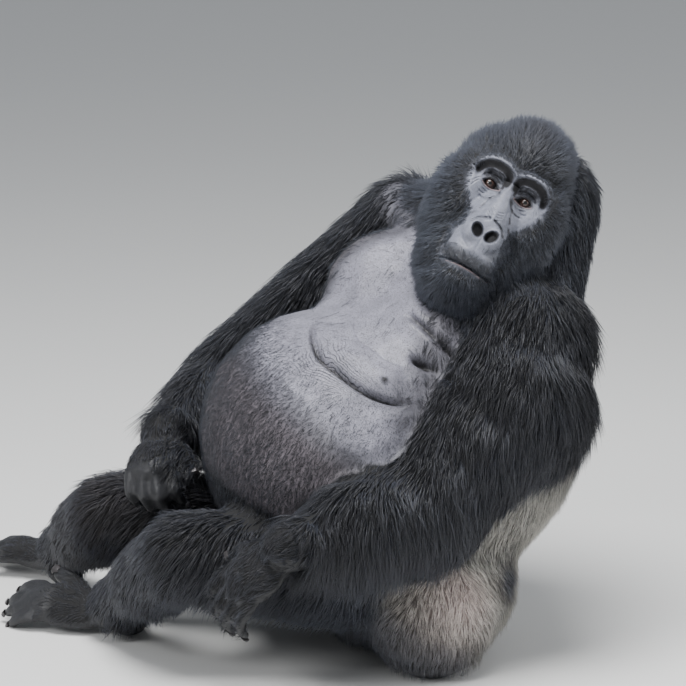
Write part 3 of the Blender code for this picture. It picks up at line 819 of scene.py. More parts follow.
# grooves that both sides of the face have: depth and width in millimetres, the share of its length over which
# each end fades, and the points that it runs through, to the side and up from the middle of the eye line
FACE_GROOVES = (
    # round the eye
    (2, 1.9, 0.18, (9.2, -3.9), (12.1, -12.5), (18.8, -21.7), (29.9, -27), (42.5, -27)),
    (1, 1.4, 0.18, (14.5, -8.7), (22.2, -14), (32.8, -15.9), (43.4, -12.1)),
    (0.8, 1.4, 0.18, (19.3, -11.6), (28, -18.8), (38.6, -20.7), (50.2, -16.4)),
    (1.5, 1.7, 0.18, (10.1, 2.9), (15.4, 13), (26.1, 16.9), (38.6, 16.9), (48.3, 10.6), (52.1, 1.9)),
    (0.7, 1.1, 0.18, (16.4, 7.2), (24.1, 11.8), (34.7, 12.5), (43.9, 8.2)),
    (1, 1.4, 0.18, (52.1, 1.9), (57.9, -3.9), (62.7, -12.5)),
    (0.8, 1.4, 0.18, (51.6, -2.9), (57.9, -11.6), (60.8, -21.2)),
    # the wing of the nose, the fold down beside the muzzle and the fold beside the bridge
    (0.7, 3.4, 0.14, (28, -64), (33.8, -80.1), (33.8, -96.5), (24.1, -109), (10.6, -115.3)),
    (1.8, 3.6, 0.18, (25.1, -48.3), (36.7, -61.8), (43.4, -79.1), (50.2, -100.4)),
    (2.6, 2.4, 0.14, (0, -53), (10, -56), (21.5, -61.5), (32, -75)),
    (1.6, 2.2, 0.18, (7.7, -0.6), (19.7, -21.6), (25.5, -37.3), (30, -53.8)),
)


def cheek_folds(left, top):
    """Grooves that both sides of the face have, in the plane of the face."""
    half = np.stack([np.abs(left), top], axis=1)
    out = np.zeros(len(left))

    def groove(points, depth, width, fade):
        gap, along = to_line(half, rounded(points))
        ends = ease(along, 0.0, fade) * ease(1.0 - along, 0.0, fade)
        np.subtract(out, GROOVE_GAIN * depth * hump(gap, width) * ends, out=out)

    for depth, width, fade, *points in FACE_GROOVES:
        groove(mm(*points), depth / 1000.0, width / 1000.0, fade)
    # wrinkles over the bridge and beside it
    for step in range(4):
        rise = -0.0386 - 0.0050 * step
        groove([(0.0000, rise), (0.0077, rise + 0.0012), (0.0154, rise + 0.0056)], 0.0009, 0.0013, 0.30)
    for step in range(5):
        shift = 0.0056 * step
        groove([(0.0145 + shift * 0.7, -0.0289 - shift * 0.9), (0.0241 + shift * 0.8, -0.0376 - shift * 0.8),
                (0.0347 + shift * 0.6, -0.0405 - shift * 0.9)], 0.0006, 0.0011, 0.30)
    return out


def sculpt_face(co):
    """Gives the face its sockets, lids, nostrils, nose wings and mouth. Also gives back, from 0 to 1, the
    painted shade in nostrils, mouth and eye openings, the pink eyelid rim and lip with a painted highlight on
    the eyelid, and the painted shade of hollows and folds with the dark skin under the brow."""
    left, front, top = head_places(co)
    pick = np.nonzero((front > -0.070) & (np.abs(left) < 0.10) & (top > -0.21) & (top < 0.07))[0]
    l, f, u = left[pick], front[pick], top[pick]
    la = np.abs(l)
    folds = cheek_folds(l, u)
    # hollow under the brow ridge, the ridge's crest, and the bag below the eye
    half = np.stack([la, u], axis=1)
    gap, run = to_line(half, rounded(BROW_HOLLOW))
    under = hump(gap, BROW_HOLLOW_WIDTH - 0.0035 * np.abs(2.0 * run - 1.0) ** 3)
    under = under * ease(run, 0.0, 0.10) * ease(1.0 - run, 0.0, 0.16)
    gap, run = to_line(half, rounded(BROW_ARC))
    arc = hump(gap, BROW_CREST_WIDTH) * ease(1.0 - run, 0.0, 0.25)
    corner = ease(0.0045 - np.abs(la - 0.0115), 0.0, 0.0035)
    corner = corner * ease(u, -0.006, 0.002) * ease(0.020 - u, 0.0, 0.006)
    f = f + folds - BROW_HOLLOW_DEPTH * under - EYE_CORNER_DEPTH * corner + BROW_CREST_RISE * arc
    f = f + EYE_BAG_RISE * hump(np.hypot((la - 0.031) / 1.6, u + 0.0125), EYE_BAG_WIDTH)

    # the broad bridge, and the cushion of the nose
    aside = np.sqrt(la ** 2 + 0.008 ** 2) - 0.008
    fall = np.interp(u, BRIDGE_TOPS, BRIDGE_FALLS)
    curve = np.interp(u, BRIDGE_TOPS, BRIDGE_CURVES)
    shield = np.interp(u, BRIDGE_TOPS, BRIDGE_FRONTS) - fall * (aside / 0.0135) ** curve
    f = np.where((u < 0.016) & (u > -0.090) & (la < 0.060), joined(f, shield, 0.006), f)
    f = f + NOSE_PAD_RISE * ease(inside_by(l, u, NOSE_PAD), -0.006, 0.010)
    f = f + np.where(la < 0.045, NOSE_FOLD_GAIN * np.minimum(folds, 0.0), 0.0)

    # lids: a shell over the eyeball, melted into the face round it
    reach = EYE_RADIUS + LID_THICKNESS + UPPER_LID_EXTRA * ease(u, 0.002, 0.008)
    from_eye = np.hypot(la - EYE_SPACING / 2.0, u)
    edge = reach * 0.86
    inner = np.sqrt(np.maximum(reach ** 2 - np.minimum(from_eye, edge) ** 2, 0.0))
    slope = edge / np.sqrt(reach ** 2 - edge ** 2)
    shell = -EYE_DEPTH + inner - slope * np.maximum(from_eye - edge, 0.0)
    f = joined(f, shell, LID_BLEND)

    # the opening between the lids
    opening = rounded(EYE_OPENING + EYE_OPENING[:1], 5)[:-1]
    a = EYE_OPENING_MIDDLE[0] - la
    b = u - EYE_OPENING_MIDDLE[1]
    inside = inside_by(a, b, opening)
    ends = ease(np.abs(a + 0.0025), 0.0100, 0.0165)
    f = f + 0.0007 * hump(inside + 0.0012, 0.0010)
    f = f - (EYE_OPENING_DEPTH - 0.0030 * ends) * ease(inside, -0.0006, 0.0012)
    # painted shade in the eye's opening, and darker along the eyelids' edges
    hole = ease(inside, 0.0, 0.0015)
    # the lower eyelid's pink rim, painted lighter as its highlight
    rim = hump(inside + 0.0002, 0.0008) * ease(-b, -0.0005, 0.0015)
    hole = np.maximum(hole, 0.88 * hump(inside + 0.0010, 0.0013) * ease(b, -0.0010, 0.0020))
    hole = np.maximum(hole, 0.55 * hump(inside + 0.0024, 0.0011) * ease(-b, 0.0, 0.0020))

    # nostrils: padded rims round deep oval pockets
    x = la - NOSTRIL[0]
    y = u - NOSTRIL[1]
    along = y * math.cos(NOSTRIL_LEAN) + x * math.sin(NOSTRIL_LEAN)
    across = x * math.cos(NOSTRIL_LEAN) - y * math.sin(NOSTRIL_LEAN)
    oval = np.hypot(across / NOSTRIL_RADII[0], along / NOSTRIL_RADII[1])
    f = f - NOSTRIL_DEPTH * ease(1.04 - oval, 0.0, 0.40)
    # painted shade inside the nostrils
    hole = np.maximum(hole, ease(1.0 - oval, 0.0, 0.35))
    # the cleft between the nostrils and under the nose
    f = f - 0.0008 * hump(l, 0.0022) * ease(u + 0.122, 0.0, 0.012) * ease(-0.076 - u, 0.0, 0.010)

    # mouth line, the roll of both lips and the pull at the corners
    line = rounded(MOUTH)
    gap, run = to_line(np.stack([l, u], axis=1), line)
    above = u > np.interp(l, line[:, 0], line[:, 1])
    ends = ease(run, 0.0, 0.10) * ease(1.0 - run, 0.0, 0.10)
    f = f - MOUTH_DEPTH * hump(gap, MOUTH_WIDTH) * (0.25 + 0.75 * ends)
    for roll, side in ((UPPER_LIP_ROLL, above), (LOWER_LIP_ROLL, ~above), (CHIN_GROOVE, ~above)):
        rise, reach, width = roll
        f = f + rise * hump(gap - reach, width) * side * ends
    # painted shade between the lips
    hole = np.maximum(hole, 0.96 * hump(gap, 0.0021) * ends)
    lip = hump(gap - 0.0034, 0.0013) * ~above * ends
    rim = np.maximum(rim, lip * 0.50)

    # painted shade over the upper eyelid, in the grooves (darker on the face's left, away from the main lamp)
    # and under the brow, where the skin is dark too
    socket_shade = 0.62 * ease(1.10 - np.hypot((la - 0.031) / 0.027, (u - 0.013) / 0.0145), 0.0, 0.40)
    socket_shade = socket_shade * ease(u, 0.002, 0.008)
    grooves = ease(-folds, 0.0003, 0.0024) * np.where(l > 0.0, 0.62, 0.42)
    dusk = np.maximum(np.maximum(1.25 * under, 0.8 * corner), np.maximum(socket_shade, grooves))

    out = co.copy()
    out[pick] += (f - front[pick])[:, None] * arr(FACE_FRONT)
    masks = np.zeros((3, len(co)))
    masks[:, pick] = hole, rim, np.clip(dusk, 0.0, 1.0)
    return (out, *masks)


def snap_to_eye(co):
    """Draws the points nearest an eye's opening onto its outline, so that the lid's edge is clean."""
    left, front, top = head_places(co)
    near = (np.abs(np.abs(left) - EYE_SPACING / 2.0) < 0.024) & (np.abs(top) < 0.016) & (front > -0.03)
    pick = np.nonzero(near)[0]
    points = np.stack([EYE_OPENING_MIDDLE[0] - np.abs(left[pick]), top[pick] - EYE_OPENING_MIDDLE[1]], axis=1)
    ring = rounded(EYE_OPENING + EYE_OPENING[:1], 8)
    gap, _, goal = nearest_on(points, ring)
    move = (goal - points) * (gap < SNAP_REACH)[:, None] * 0.92
    out = co.copy()
    sideways = -move[:, 0] * np.sign(left[pick])
    out[pick] += np.outer(sideways, arr(FACE_LEFT)) + np.outer(move[:, 1], arr(FACE_TOP))
    return out


# ---------------------------------------------------------------- the folds of the trunk
BREAST_FOLD = mm((240, -120, 110), (262, -50, 85), (290, 17, 65), (296, 78, 53), (283, 116, 54),
                 (268, 148, 55), (251, 174, 57), (229, 193, 63), (208, 206, 73), (189, 213, 86))
ARMPIT_FOLD = mm((196, 136, 134), (186, 156, 137), (168, 176, 143), (150, 196, 153), (145, 225, 160))
COLLAR_FOLD = mm((201, 70, 186), (191, 98, 186), (172, 138, 184), (150, 164, 179), (140, 190, 172))
# of each fold: its line, depth, width and how dark its painted shade is
SKIN_FOLDS = ((ARMPIT_FOLD, 0.0170, 0.0060, 0.95), (COLLAR_FOLD, 0.0120, 0.0055, 0.85))
BREAST_FOLD_DEPTH = 0.0125
BREAST_SWELL = 0.0110
NIPPLE_RISE = 0.0060
# where the hair thins out between the neck and the right shoulder
THROAT_SIDE = mm((160, -130, 235), (110, -185, 262), (80, -240, 275), (68, -290, 288))
NIPPLES = mm((230, 170, 83), (262, -118, 118))


def sculpt_chest(co, normals):
    """Breast, armpit and collar folds and the nipples. Also gives back the painted shade in the folds with
    the nipples' own dark, how strongly the fine parallel creases show, and how far across them each point
    lies."""
    belly, side, spine = trunk_places(co)
    here = np.nonzero((belly > 0.06) & (np.abs(side) < 0.30) & (spine > -0.14) & (spine < 0.32))[0]
    points = np.stack([belly[here], side[here], spine[here]], axis=1)
    across = points[:, 1]
    fold = rounded(BREAST_FOLD)
    gap, along = to_line(points, fold)
    above = points[:, 2] - np.interp(across, fold[:, 1], fold[:, 2])
    ends = ease(along, 0.08, 0.55) * ease(1.0 - along, 0.0, 0.12)
    push = -BREAST_FOLD_DEPTH * hump(gap, 0.0044) * ends
    push += BREAST_SWELL * hump(above - 0.028, 0.026) * (above > 0.0) * ends * (gap < 0.07)
    # painted shade under the breast's fold
    fold_shade_and_nipples = 0.85 * hump(above + 0.002, 0.0048) * ends * (gap < 0.02)
    fan = 0.28 + 0.72 * ease(0.205 - across, 0.0, 0.19)
    band = np.where(above > 0.0, hump(above / fan, 0.034), hump(above / fan, 0.055))
    weight = ease(across - 0.01, 0.0, 0.08) * ease(0.232 - across, 0.0, 0.03) * band
    for line, depth, width, dark in SKIN_FOLDS:
        gap, along = to_line(points, rounded(line))
        ends = ease(along, 0.0, 0.22) * ease(1.0 - along, 0.0, 0.12)
        push -= depth * hump(gap, width) * ends
        push += depth * 0.08 * hump(gap - width * 2.4, width * 1.4) * ends
        # painted shade in the armpit and collar folds
        fold_shade_and_nipples = np.maximum(fold_shade_and_nipples, dark * hump(gap, width * 1.1) * ends)
    # the nipples' own dark colour
    for place in NIPPLES:
        gap = np.linalg.norm(points - np.array(place), axis=1)
        push += NIPPLE_RISE * hump(gap, 0.0048) + 0.0016 * hump(gap, 0.013)
        fold_shade_and_nipples = np.maximum(fold_shade_and_nipples, 0.8 * hump(gap, 0.0075))
    out = co.copy()
    out[here] += push[:, None] * normals[here]
    masks = np.zeros((3, len(co)))
    masks[:, here] = fold_shade_and_nipples, weight, above / fan
    return (out, *masks)


def refine(mesh, chosen, cuts=1):
    """Splits every face whose corners are all chosen into finer ones."""
    bm = opened(mesh)
    picked = set(np.nonzero(chosen)[0].tolist())
    edges = [e for e in bm.edges if e.verts[0].index in picked and e.verts[1].index in picked]
    bmesh.ops.subdivide_edges(bm, edges=edges, cuts=cuts, use_grid_fill=True)
    loose = [f for f in bm.faces if len(f.verts) > 4]
    bmesh.ops.triangulate(bm, faces=loose)
    bm.to_mesh(mesh)
    bm.free()


def thinned(mesh, weight, faces):
    """Collapses the mesh to about that many faces, mostly where weight is high."""
    obj = mesh_object("thinning", mesh)
    group = obj.vertex_groups.new(name="thin")
    levels = np.round(np.clip(weight, 0.0, 1.0) * 10.0) / 10.0
    for level in np.unique(levels):
        group.add(np.nonzero(levels == level)[0].tolist(), float(level), "REPLACE")
    thin = obj.modifiers.new("Thin", "DECIMATE")
    thin.ratio = min(1.0, faces / (len(mesh.polygons) * 2.0))
    thin.vertex_group = group.name
    thin.vertex_group_factor = 1.0
    return evaluated_mesh(obj, "skin")


def store(mesh, name, values):
    kind = "FLOAT" if values.ndim == 1 else VECTOR
    layer = mesh.attributes.new(name, kind, "POINT")
    layer.data.foreach_set("value" if values.ndim == 1 else "vector", values.astype(np.float32).ravel())


NODE_GROWTH = 0.0009      # how far the flesh nodes are pushed out, so that they fuse
PAW_GROWTH = -0.0010
JOINT_RADIUS = 0.024      # of the rounded masses at the wrists and ankles
SOFTNESS = {"head": 0.16, "ear": 0.1, "hand": 0.07, "foot": 0.09}     # all other nodes: 1
SMOOTH_PASSES = 90        # over the fused form, and again once the skin is sunk under the coat
SETTLE_PASSES = 8
FLOOR_GAP = 0.0005


def flesh_form(settings):
    """The flesh nodes and the head's own form, fused into one surface."""
    bm = bmesh.new()
    for name in FLESH:
        if kind_of(name) not in ("head", "ear"):
            add_node(bm, name, PAW_GROWTH if kind_of(name) in ("hand", "foot") else NODE_GROWTH)
    for joint in (WRIST_L, WRIST_R, ANKLE_L, ANKLE_R):
        blob(bm, joint, (JOINT_RADIUS,) * 3)
    head_form(bm)
    for side in (-1.0, 1.0):
        ear_form(bm, side)
    mesh = evaluated_mesh(fused(bm, settings.voxel, "form"), "skin")
    drop_loose(mesh)
    return mesh


def sunk_and_thinned(mesh, node_of, settings):
    """Smooths away the facets, least on the head, hands and feet, sinks the skin under the coat, and takes
    faces away, mostly where the coat hides it."""
    co = places_of(mesh)
    spreader = Spreader(mesh)
    node = node_of(co)
    weight = np.array([SOFTNESS.get(kind_of(name), 1.0) for name in FLESH])[node]
    weight = spreader.spread(weight, 8)
    co = spreader.relax(co, weight, SMOOTH_PASSES)
    set_places(mesh, co)
    marks = Markings(co, normals_of(mesh), node, spreader)
    depth = marks.length * np.clip(marks.cover * 1.15, 0.0, 1.0) * settings.under_coat
    depth = spreader.spread(depth, 12)
    co = co - normals_of(mesh) * depth[:, None]
    set_places(mesh, spreader.relax(co, weight, SETTLE_PASSES))
    detail = np.maximum(ease(marks.bare, 0.2, 0.8), 0.9 * marks.mask("hand", "foot", "ear"))
    detail = spreader.spread(detail, 6)
    paws = spreader.spread(1.0 * marks.mask("hand", "foot"), 4)
    return thinned(mesh, 1.0 - 0.30 * np.clip(detail, 0.0, 1.0) - 0.40 * paws, settings.body_faces)


def on_chest(co, grown):
    """Which points lie in the chest's area, drawn in by grown on every side."""
    belly, side, spine = trunk_places(co)
    across = (side > -0.17 + grown) & (side < 0.26 - grown)
    return (belly > 0.12 + grown) & across & (spine > grown) & (spine < 0.24 - grown)


def refine_bare(mesh):
    """Finer faces on the face and chest, and finer ones again at the eyes, nose and mouth."""
    for fineness in range(2):
        co = places_of(mesh)
        left, front, top = head_places(co)
        wanted = (bare_face(left, front, top) > -0.014) & (front < 0.12)
        refine(mesh, wanted | on_chest(co, 0.0) if fineness == 0 else wanted)
        co = places_of(mesh)
        left, front, top = head_places(co)
        inner = ease(bare_face(left, front, top), -0.012, -0.004) * (front < 0.12)
        set_places(mesh, Spreader(mesh).relax(co, np.maximum(inner * 0.8, on_chest(co, 0.01) * 1.0), 6))
    left, front, top = head_places(places_of(mesh))
    eyes = (np.abs(np.abs(left) - 0.034) < 0.028) & (np.abs(top + 0.005) < 0.028) & (front > -0.05)
    nose = (np.hypot(left / 0.036, (top + 0.086) / 0.034) < 1.0) & (front > 0.0)
    mouth = (np.abs(left) < 0.058) & (np.abs(top + 0.149) < 0.009) & (front > -0.02)
    refine(mesh, eyes | nose | mouth)


def coat_pieces(node, marks):
    """The number of the coat piece that grows at each point."""
    piece = np.zeros(len(node), dtype=np.int32)
    for index, nodes in enumerate(COATS.values()):
        for name in nodes:
            piece[node == FLESH.index(name)] = index
    order = list(COATS)
    piece[(piece == order.index("coat_crown")) & (marks.front > FACE_COAT_BACK)] = order.index("coat_face")
    piece[(piece == order.index("coat_belly")) & (marks.belly < BELLY_COAT_BACK)] = order.index("coat_flank")
    return piece


KEPT_MARKS = ("way", "lift", "cover", "bare", "pale", "tinge", "silver", "brown", "facial", "stubble", "tan")


def build_skin():
    """The whole skin, with its markings and the lie of the coat stored on it."""
    settings = bpy.context.scene.gorilla_skin
    mesh = flesh_form(settings)
    node_of = region_finder()
    mesh = sunk_and_thinned(mesh, node_of, settings)
    refine_bare(mesh)
    co, hole, wet, dusk = sculpt_face(snap_to_eye(places_of(mesh)))
    set_places(mesh, co)
    co, chest_shade_and_nipples, crease, crease_run = sculpt_chest(co, normals_of(mesh))
    co[:, 2] = np.maximum(co[:, 2], FLOOR_GAP)
    set_places(mesh, co)
    node = node_of(co)
    normals = normals_of(mesh)
    marks = Markings(co, normals, node, Spreader(mesh))
    first = pull(mesh.loops, "vertex_index")[pull(mesh.polygons, "loop_start")]
    piece = mesh.attributes.new("coat_piece", "INT", "FACE")
    piece.data.foreach_set("value", coat_pieces(node, marks)[first])
    # the painted shade and dark skin of face and chest are kept as one mark
    kept = {
        "up": normals, "hair": marks.length, "hole": hole, "wet": wet, "dusk": np.maximum(dusk, chest_shade_and_nipples),
        "crease": crease, "crease_run": crease_run,
    }
    kept.update((name, getattr(marks, name)) for name in KEPT_MARKS)
    for name, values in kept.items():
        store(mesh, name, values)
    shade_smooth(mesh)
    return mesh_object("skin", mesh)


CELL_MARGIN = 0.02        # the edge left free round what lies in a cell of the unwrap, as a share of the cell
CELL_USED = 0.94


def atlas(mesh, piece):
    """Lays one coat piece's part of the skin flat in a unit square, by the six sides its faces look to."""
    corners = pull(mesh.loops, "vertex_index")
    totals = pull(mesh.polygons, "loop_total")
    normal = np.repeat(pull(mesh.polygons, "normal", 3, np.float32), totals, axis=0)
    pieces = pull(mesh.attributes["coat_piece"].data, "value")
    co = places_of(mesh)
    out = np.zeros((len(corners), 3), dtype=np.float32)
    mine = co[corners[np.repeat(pieces == piece, totals)]]
    low = mine.min(axis=0)
    size = (mine.max(axis=0) - low).max() * 1.04
    axis = np.argmax(np.abs(normal), axis=1)
    up = np.take_along_axis(normal, axis[:, None], axis=1)[:, 0] > 0.0
    for k in range(3):
        flat = [j for j in range(3) if j != k]
        for facing in (False, True):
            chosen = (axis == k) & (up == facing)
            place = (co[corners[chosen]][:, flat] - low[flat]) / size
            out[chosen, 0] = (k + CELL_MARGIN + place[:, 0] * CELL_USED) / 3.0
            out[chosen, 1] = (facing * 1.5 + 0.1 + place[:, 1] * CELL_USED) / 3.0
    return out


# ---------------------------------------------------------------- node trees
class Wiring:
    """Short ways to add and join the nodes of one tree."""

    def __init__(self, tree):
        self.tree = tree

    def put(self, socket, value):
        if isinstance(value, bpy.types.NodeSocket):
            self.tree.links.new(value, socket)
        elif value is not None:
            socket.default_value = value

    def add(self, kind, inputs=None, **settings):
        node = self.tree.nodes.new(kind)
        for name, value in settings.items():
            setattr(node, name, value)
        for key, value in (inputs or {}).items():
            self.put(node.inputs[key], value)
        return node

    def result(self, value):
        """Ends a group with its one output."""
        self.put(self.add("NodeGroupOutput").inputs[0], value)

    def shade(self, **values):
        """Sets or wires the sockets of a material's Principled shader."""
        shader = self.tree.nodes["Principled BSDF"]
        for label, value in values.items():
            self.put(shader.inputs[label.replace("_", " ")], value)

    def math(self, operation, a, b=None, c=None):
        return self.add("ShaderNodeMath", {0: a, 1: b, 2: c}, operation=operation).outputs[0]

    def times(self, a, b, *more):
        out = self.math("MULTIPLY", a, b)
        return self.times(out, *more) if more else out

    def plus(self, a, b):
        return self.math("ADD", a, b)

    def minus(self, a, b):
        return self.math("SUBTRACT", a, b)

    def times_plus(self, a, factor, base):
        return self.math("MULTIPLY_ADD", a, factor, base)

    def most(self, a, b):
        return self.math("MAXIMUM", a, b)

    def noise(self, where, scale, detail, out="Fac"):
        node = self.add("ShaderNodeTexNoise", {"Vector": where, "Scale": scale, "Detail": detail})
        return node.outputs[out]

    def bump(self, height, distance, strength, normal=None):
        return self.add("ShaderNodeBump", {
            "Height": height, "Distance": distance, "Strength": strength, "Normal": normal}).outputs[0]

    def vec(self, operation, a, b=None, scale=None):
        node = self.add("ShaderNodeVectorMath", {0: a, 1: b}, operation=operation)
        if scale is not None:
            self.put(node.inputs["Scale"], scale)
        return node.outputs["Value" if operation in ("DOT_PRODUCT", "LENGTH") else "Vector"]

    def parts(self, vector):
        return self.add("ShaderNodeSeparateXYZ", {0: vector}).outputs

    def total(self, *vectors):
        out = vectors[0]
        for other in vectors[1:]:
            out = self.vec("ADD", out, other)
        return out

    def scaled(self, vector, factor):
        return self.vec("SCALE", vector, None, factor)

    def ramp(self, value, low, high, to_low=0.0, to_high=1.0):
        node = self.add("ShaderNodeMapRange", {0: value, 1: low, 2: high, 3: to_low, 4: to_high})
        node.interpolation_type = "SMOOTHSTEP"
        return node.outputs[0]

    def mix(self, factor, a, b, blend="MIX"):
        node = self.add("ShaderNodeMix", data_type="RGBA", blend_type=blend)
        self.put(node.inputs[0], factor)
        self.put(node.inputs[6], a)
        self.put(node.inputs[7], b)
        return node.outputs[2]

    def field(self, name, kind="FLOAT"):
        """A named attribute in a geometry tree."""
        node = self.add("GeometryNodeInputNamedAttribute", {"Name": name}, data_type=kind)
        return node.outputs["Attribute"]

    def mark(self, name):
        """A named attribute in a shader tree."""
        return self.add("ShaderNodeAttribute", attribute_name=name).outputs["Fac"]

    def keep(self, geometry, name, value, kind="FLOAT", domain="POINT"):
        """Stores a value on the geometry."""
        node = self.add(
            "GeometryNodeStoreNamedAttribute", {"Geometry": geometry, "Name": name},
            data_type=kind, domain=domain)
        self.put(node.inputs["Value"], value)
        return node.outputs["Geometry"]


def new_group(name, kind, inputs, outputs):
    """A node group with named sockets, given as (name, type, default)."""
    tree = bpy.data.node_groups.new(name, kind)
    for label, socket, default in inputs:
        made = tree.interface.new_socket(label, in_out="INPUT", socket_type=socket)
        if default is not None:
            made.default_value = default
    for label, socket in outputs:
        tree.interface.new_socket(label, in_out="OUTPUT", socket_type=socket)
    return tree


LOWEST = 0.0006           # the lowest that a lock may reach
PATCH_HALF = 0.0015       # half the width of a lock's patch on its unwrap
COMB_DRIFT = 1.5          # how far broad noise, and each lock's own chance, turn it from the way it is combed
COMB_CHANCE = 0.20
LENGTH_MEAN = 0.94        # a lock's length, as a share of the marked one, and how far chance changes it
LENGTH_SPREAD = 0.28
LIFT_SPREAD = 0.45
WIDTH_SPREAD = 0.3
TIP_SWAY = 0.16           # how far to the side chance bends the tip, as a share of the length
ROOT_SINK = -0.03         # where the lock starts under the skin, as a share of the length
FLATNESS = 0.6            # a lock's thickness, as a share of its width
TIP_FLARE = 0.9           # how much the cone is widened towards the tip, for a fuller lock
SHORT_HAIR = 0.004        # hair of this length has locks of SHORT_WIDTH, hair of LONG_HAIR has them full
LONG_HAIR = 0.030
SHORT_WIDTH = 0.62
TUFT_SCALE = 170.0        # of the tufts that differ in tone, and how much they and each lock's chance do so
TUFT_TONE = 2.3
LOCK_TONE = 0.55
SKIN_MARKS = ("up", "way", "hair", "lift", "cover", "coat_piece")
LOCK_SCRATCH = (
    "root", "lock_up", "lock_way", "draw", "chance", "form", "patch", "atlas",
    "pale", "tinge", "hole", "wet", "dusk", "crease", "crease_run", "facial", "bare", "stubble")


def coat_tree():
    """Scatters locks over one piece of the skin and combs, bends and clumps them."""
    numbers = ("Locks", "Width", "Clump", "Clumps", "Droop", "Bend")
    tree = new_group(
        "Coat of locks", "GeometryNodeTree",
        [("Geometry", "NodeSocketGeometry", None), ("Material", "NodeSocketMaterial", None)]
        + [(label, "NodeSocketFloat", None) for label in numbers]
        + [(label, "NodeSocketInt", None) for label in ("Piece", "Rings", "Seed")],
        [("Geometry", "NodeSocketGeometry")])
    w = Wiring(tree)
    given = w.add("NodeGroupInput").outputs
    position = w.add("GeometryNodeInputPosition").outputs[0]
    up = w.vec("NORMALIZE", w.field("up", VECTOR))

    def scatter(density, seed):
        here = w.add(
            "FunctionNodeCompare", {2: w.field("coat_piece", "INT"), 3: given["Piece"]},
            data_type="INT", operation="EQUAL").outputs[0]
        node = w.add("GeometryNodeDistributePointsOnFaces", {"Mesh": given["Geometry"], "Selection": here})
        w.put(node.inputs["Density"], w.times(density, w.field("cover")))
        w.put(node.inputs["Seed"], seed)
        return node.outputs["Points"]

    def in_skin(vector):
        """The part of a vector that lies in the skin's own plane."""
        return w.vec("SUBTRACT", vector, w.scaled(up, w.vec("DOT_PRODUCT", vector, up)))

    # roots, each with the way to the middle of its clump, its own chance and the way it is combed
    roots = scatter(given["Locks"], given["Seed"])
    centres = scatter(given["Clumps"], w.plus(given["Seed"], 11.0))
    nearest = w.add("GeometryNodeSampleNearest", {"Geometry": centres}, domain="POINT").outputs[0]
    middle = w.add(
        "GeometryNodeSampleIndex", {"Geometry": centres, "Index": nearest},
        data_type=VECTOR, domain="POINT")
    w.put(middle.inputs["Value"], position)
    gap = w.vec("SUBTRACT", middle.outputs["Value"], position)
    chance = w.add(
        "FunctionNodeRandomValue", {0: (-1.0, -1.0, -1.0), 1: (1.0, 1.0, 1.0), "Seed": 3},
        data_type=VECTOR).outputs[0]
    drift = w.vec("SUBTRACT", w.noise(position, 22.0, 1.0, "Color"), (0.5, 0.5, 0.5))
    way = w.total(w.field("way", VECTOR), w.scaled(drift, COMB_DRIFT), w.scaled(chance, COMB_CHANCE))
    for name, value in (("root", position), ("lock_up", up), ("lock_way", w.vec("NORMALIZE", in_skin(way))),
                        ("draw", in_skin(gap)), ("chance", chance)):
        roots = w.keep(roots, name, value, VECTOR)

    # one straight lock, set on every root
    spike = w.add("GeometryNodeMeshCone", {
        "Vertices": 3, "Side Segments": given["Rings"], "Radius Top": 0.0, "Radius Bottom": 1.0, "Depth": 1.0,
    }, fill_type="NGON")
    whole = w.keep(spike.outputs["Mesh"], "form", position, VECTOR)
    shrink = w.add("GeometryNodeSwitch", {"Switch": spike.outputs["Bottom"], "False": 1.0, "True": 0.04},
                   input_type="FLOAT").outputs[0]
    whole = w.keep(whole, "patch", w.scaled(position, shrink), VECTOR, "CORNER")
    locks = w.add("GeometryNodeInstanceOnPoints", {"Points": roots, "Instance": whole}).outputs[0]
    made = w.add("GeometryNodeRealizeInstances", {"Geometry": locks}).outputs[0]

    # the line that each lock follows, and its girth
    form = w.parts(w.field("form", VECTOR))
    luck = w.parts(w.field("chance", VECTOR))
    t = form[2]
    t2 = w.times(t, t)
    up = w.field("lock_up", VECTOR)
    way = w.field("lock_way", VECTOR)
    root = w.field("root", VECTOR)
    side = w.vec("NORMALIZE", w.vec("CROSS_PRODUCT", up, way))
    length = w.times(w.field("hair"), w.times_plus(luck[0], LENGTH_SPREAD, LENGTH_MEAN))
    rise = w.times(w.field("lift"), w.times_plus(luck[1], LIFT_SPREAD, 1.0))
    climb = w.minus(t, w.times(t2, given["Bend"]))
    line = w.total(
        w.scaled(way, w.times(length, t)),
        w.scaled(up, w.times(length, w.times(rise, climb))),
        w.scaled(side, w.times(length, w.times(luck[2], TIP_SWAY, t2))),
        w.scaled(tuple(DOWN), w.times(length, given["Droop"], t2)),
        w.scaled(w.field("draw", VECTOR), w.times(t2, given["Clump"])))
    girth = w.times(given["Width"], w.times_plus(luck[1], WIDTH_SPREAD, 1.0))
    by_length = w.ramp(w.field("hair"), SHORT_HAIR, LONG_HAIR, SHORT_WIDTH, 1.0)
    girth = w.times(w.times_plus(t, TIP_FLARE, 1.0), girth, by_length)
    body = w.total(
        w.scaled(side, w.times(form[0], girth)),
        w.scaled(up, w.times(form[1], FLATNESS, girth)),
        w.scaled(up, w.times(length, ROOT_SINK)))
    x, y, z = w.parts(w.total(root, line, body))
    place = w.add("ShaderNodeCombineXYZ", {0: x, 1: y, 2: w.most(z, LOWEST)}).outputs[0]
    made = w.add("GeometryNodeSetPosition", {"Geometry": made, "Position": place}).outputs[0]

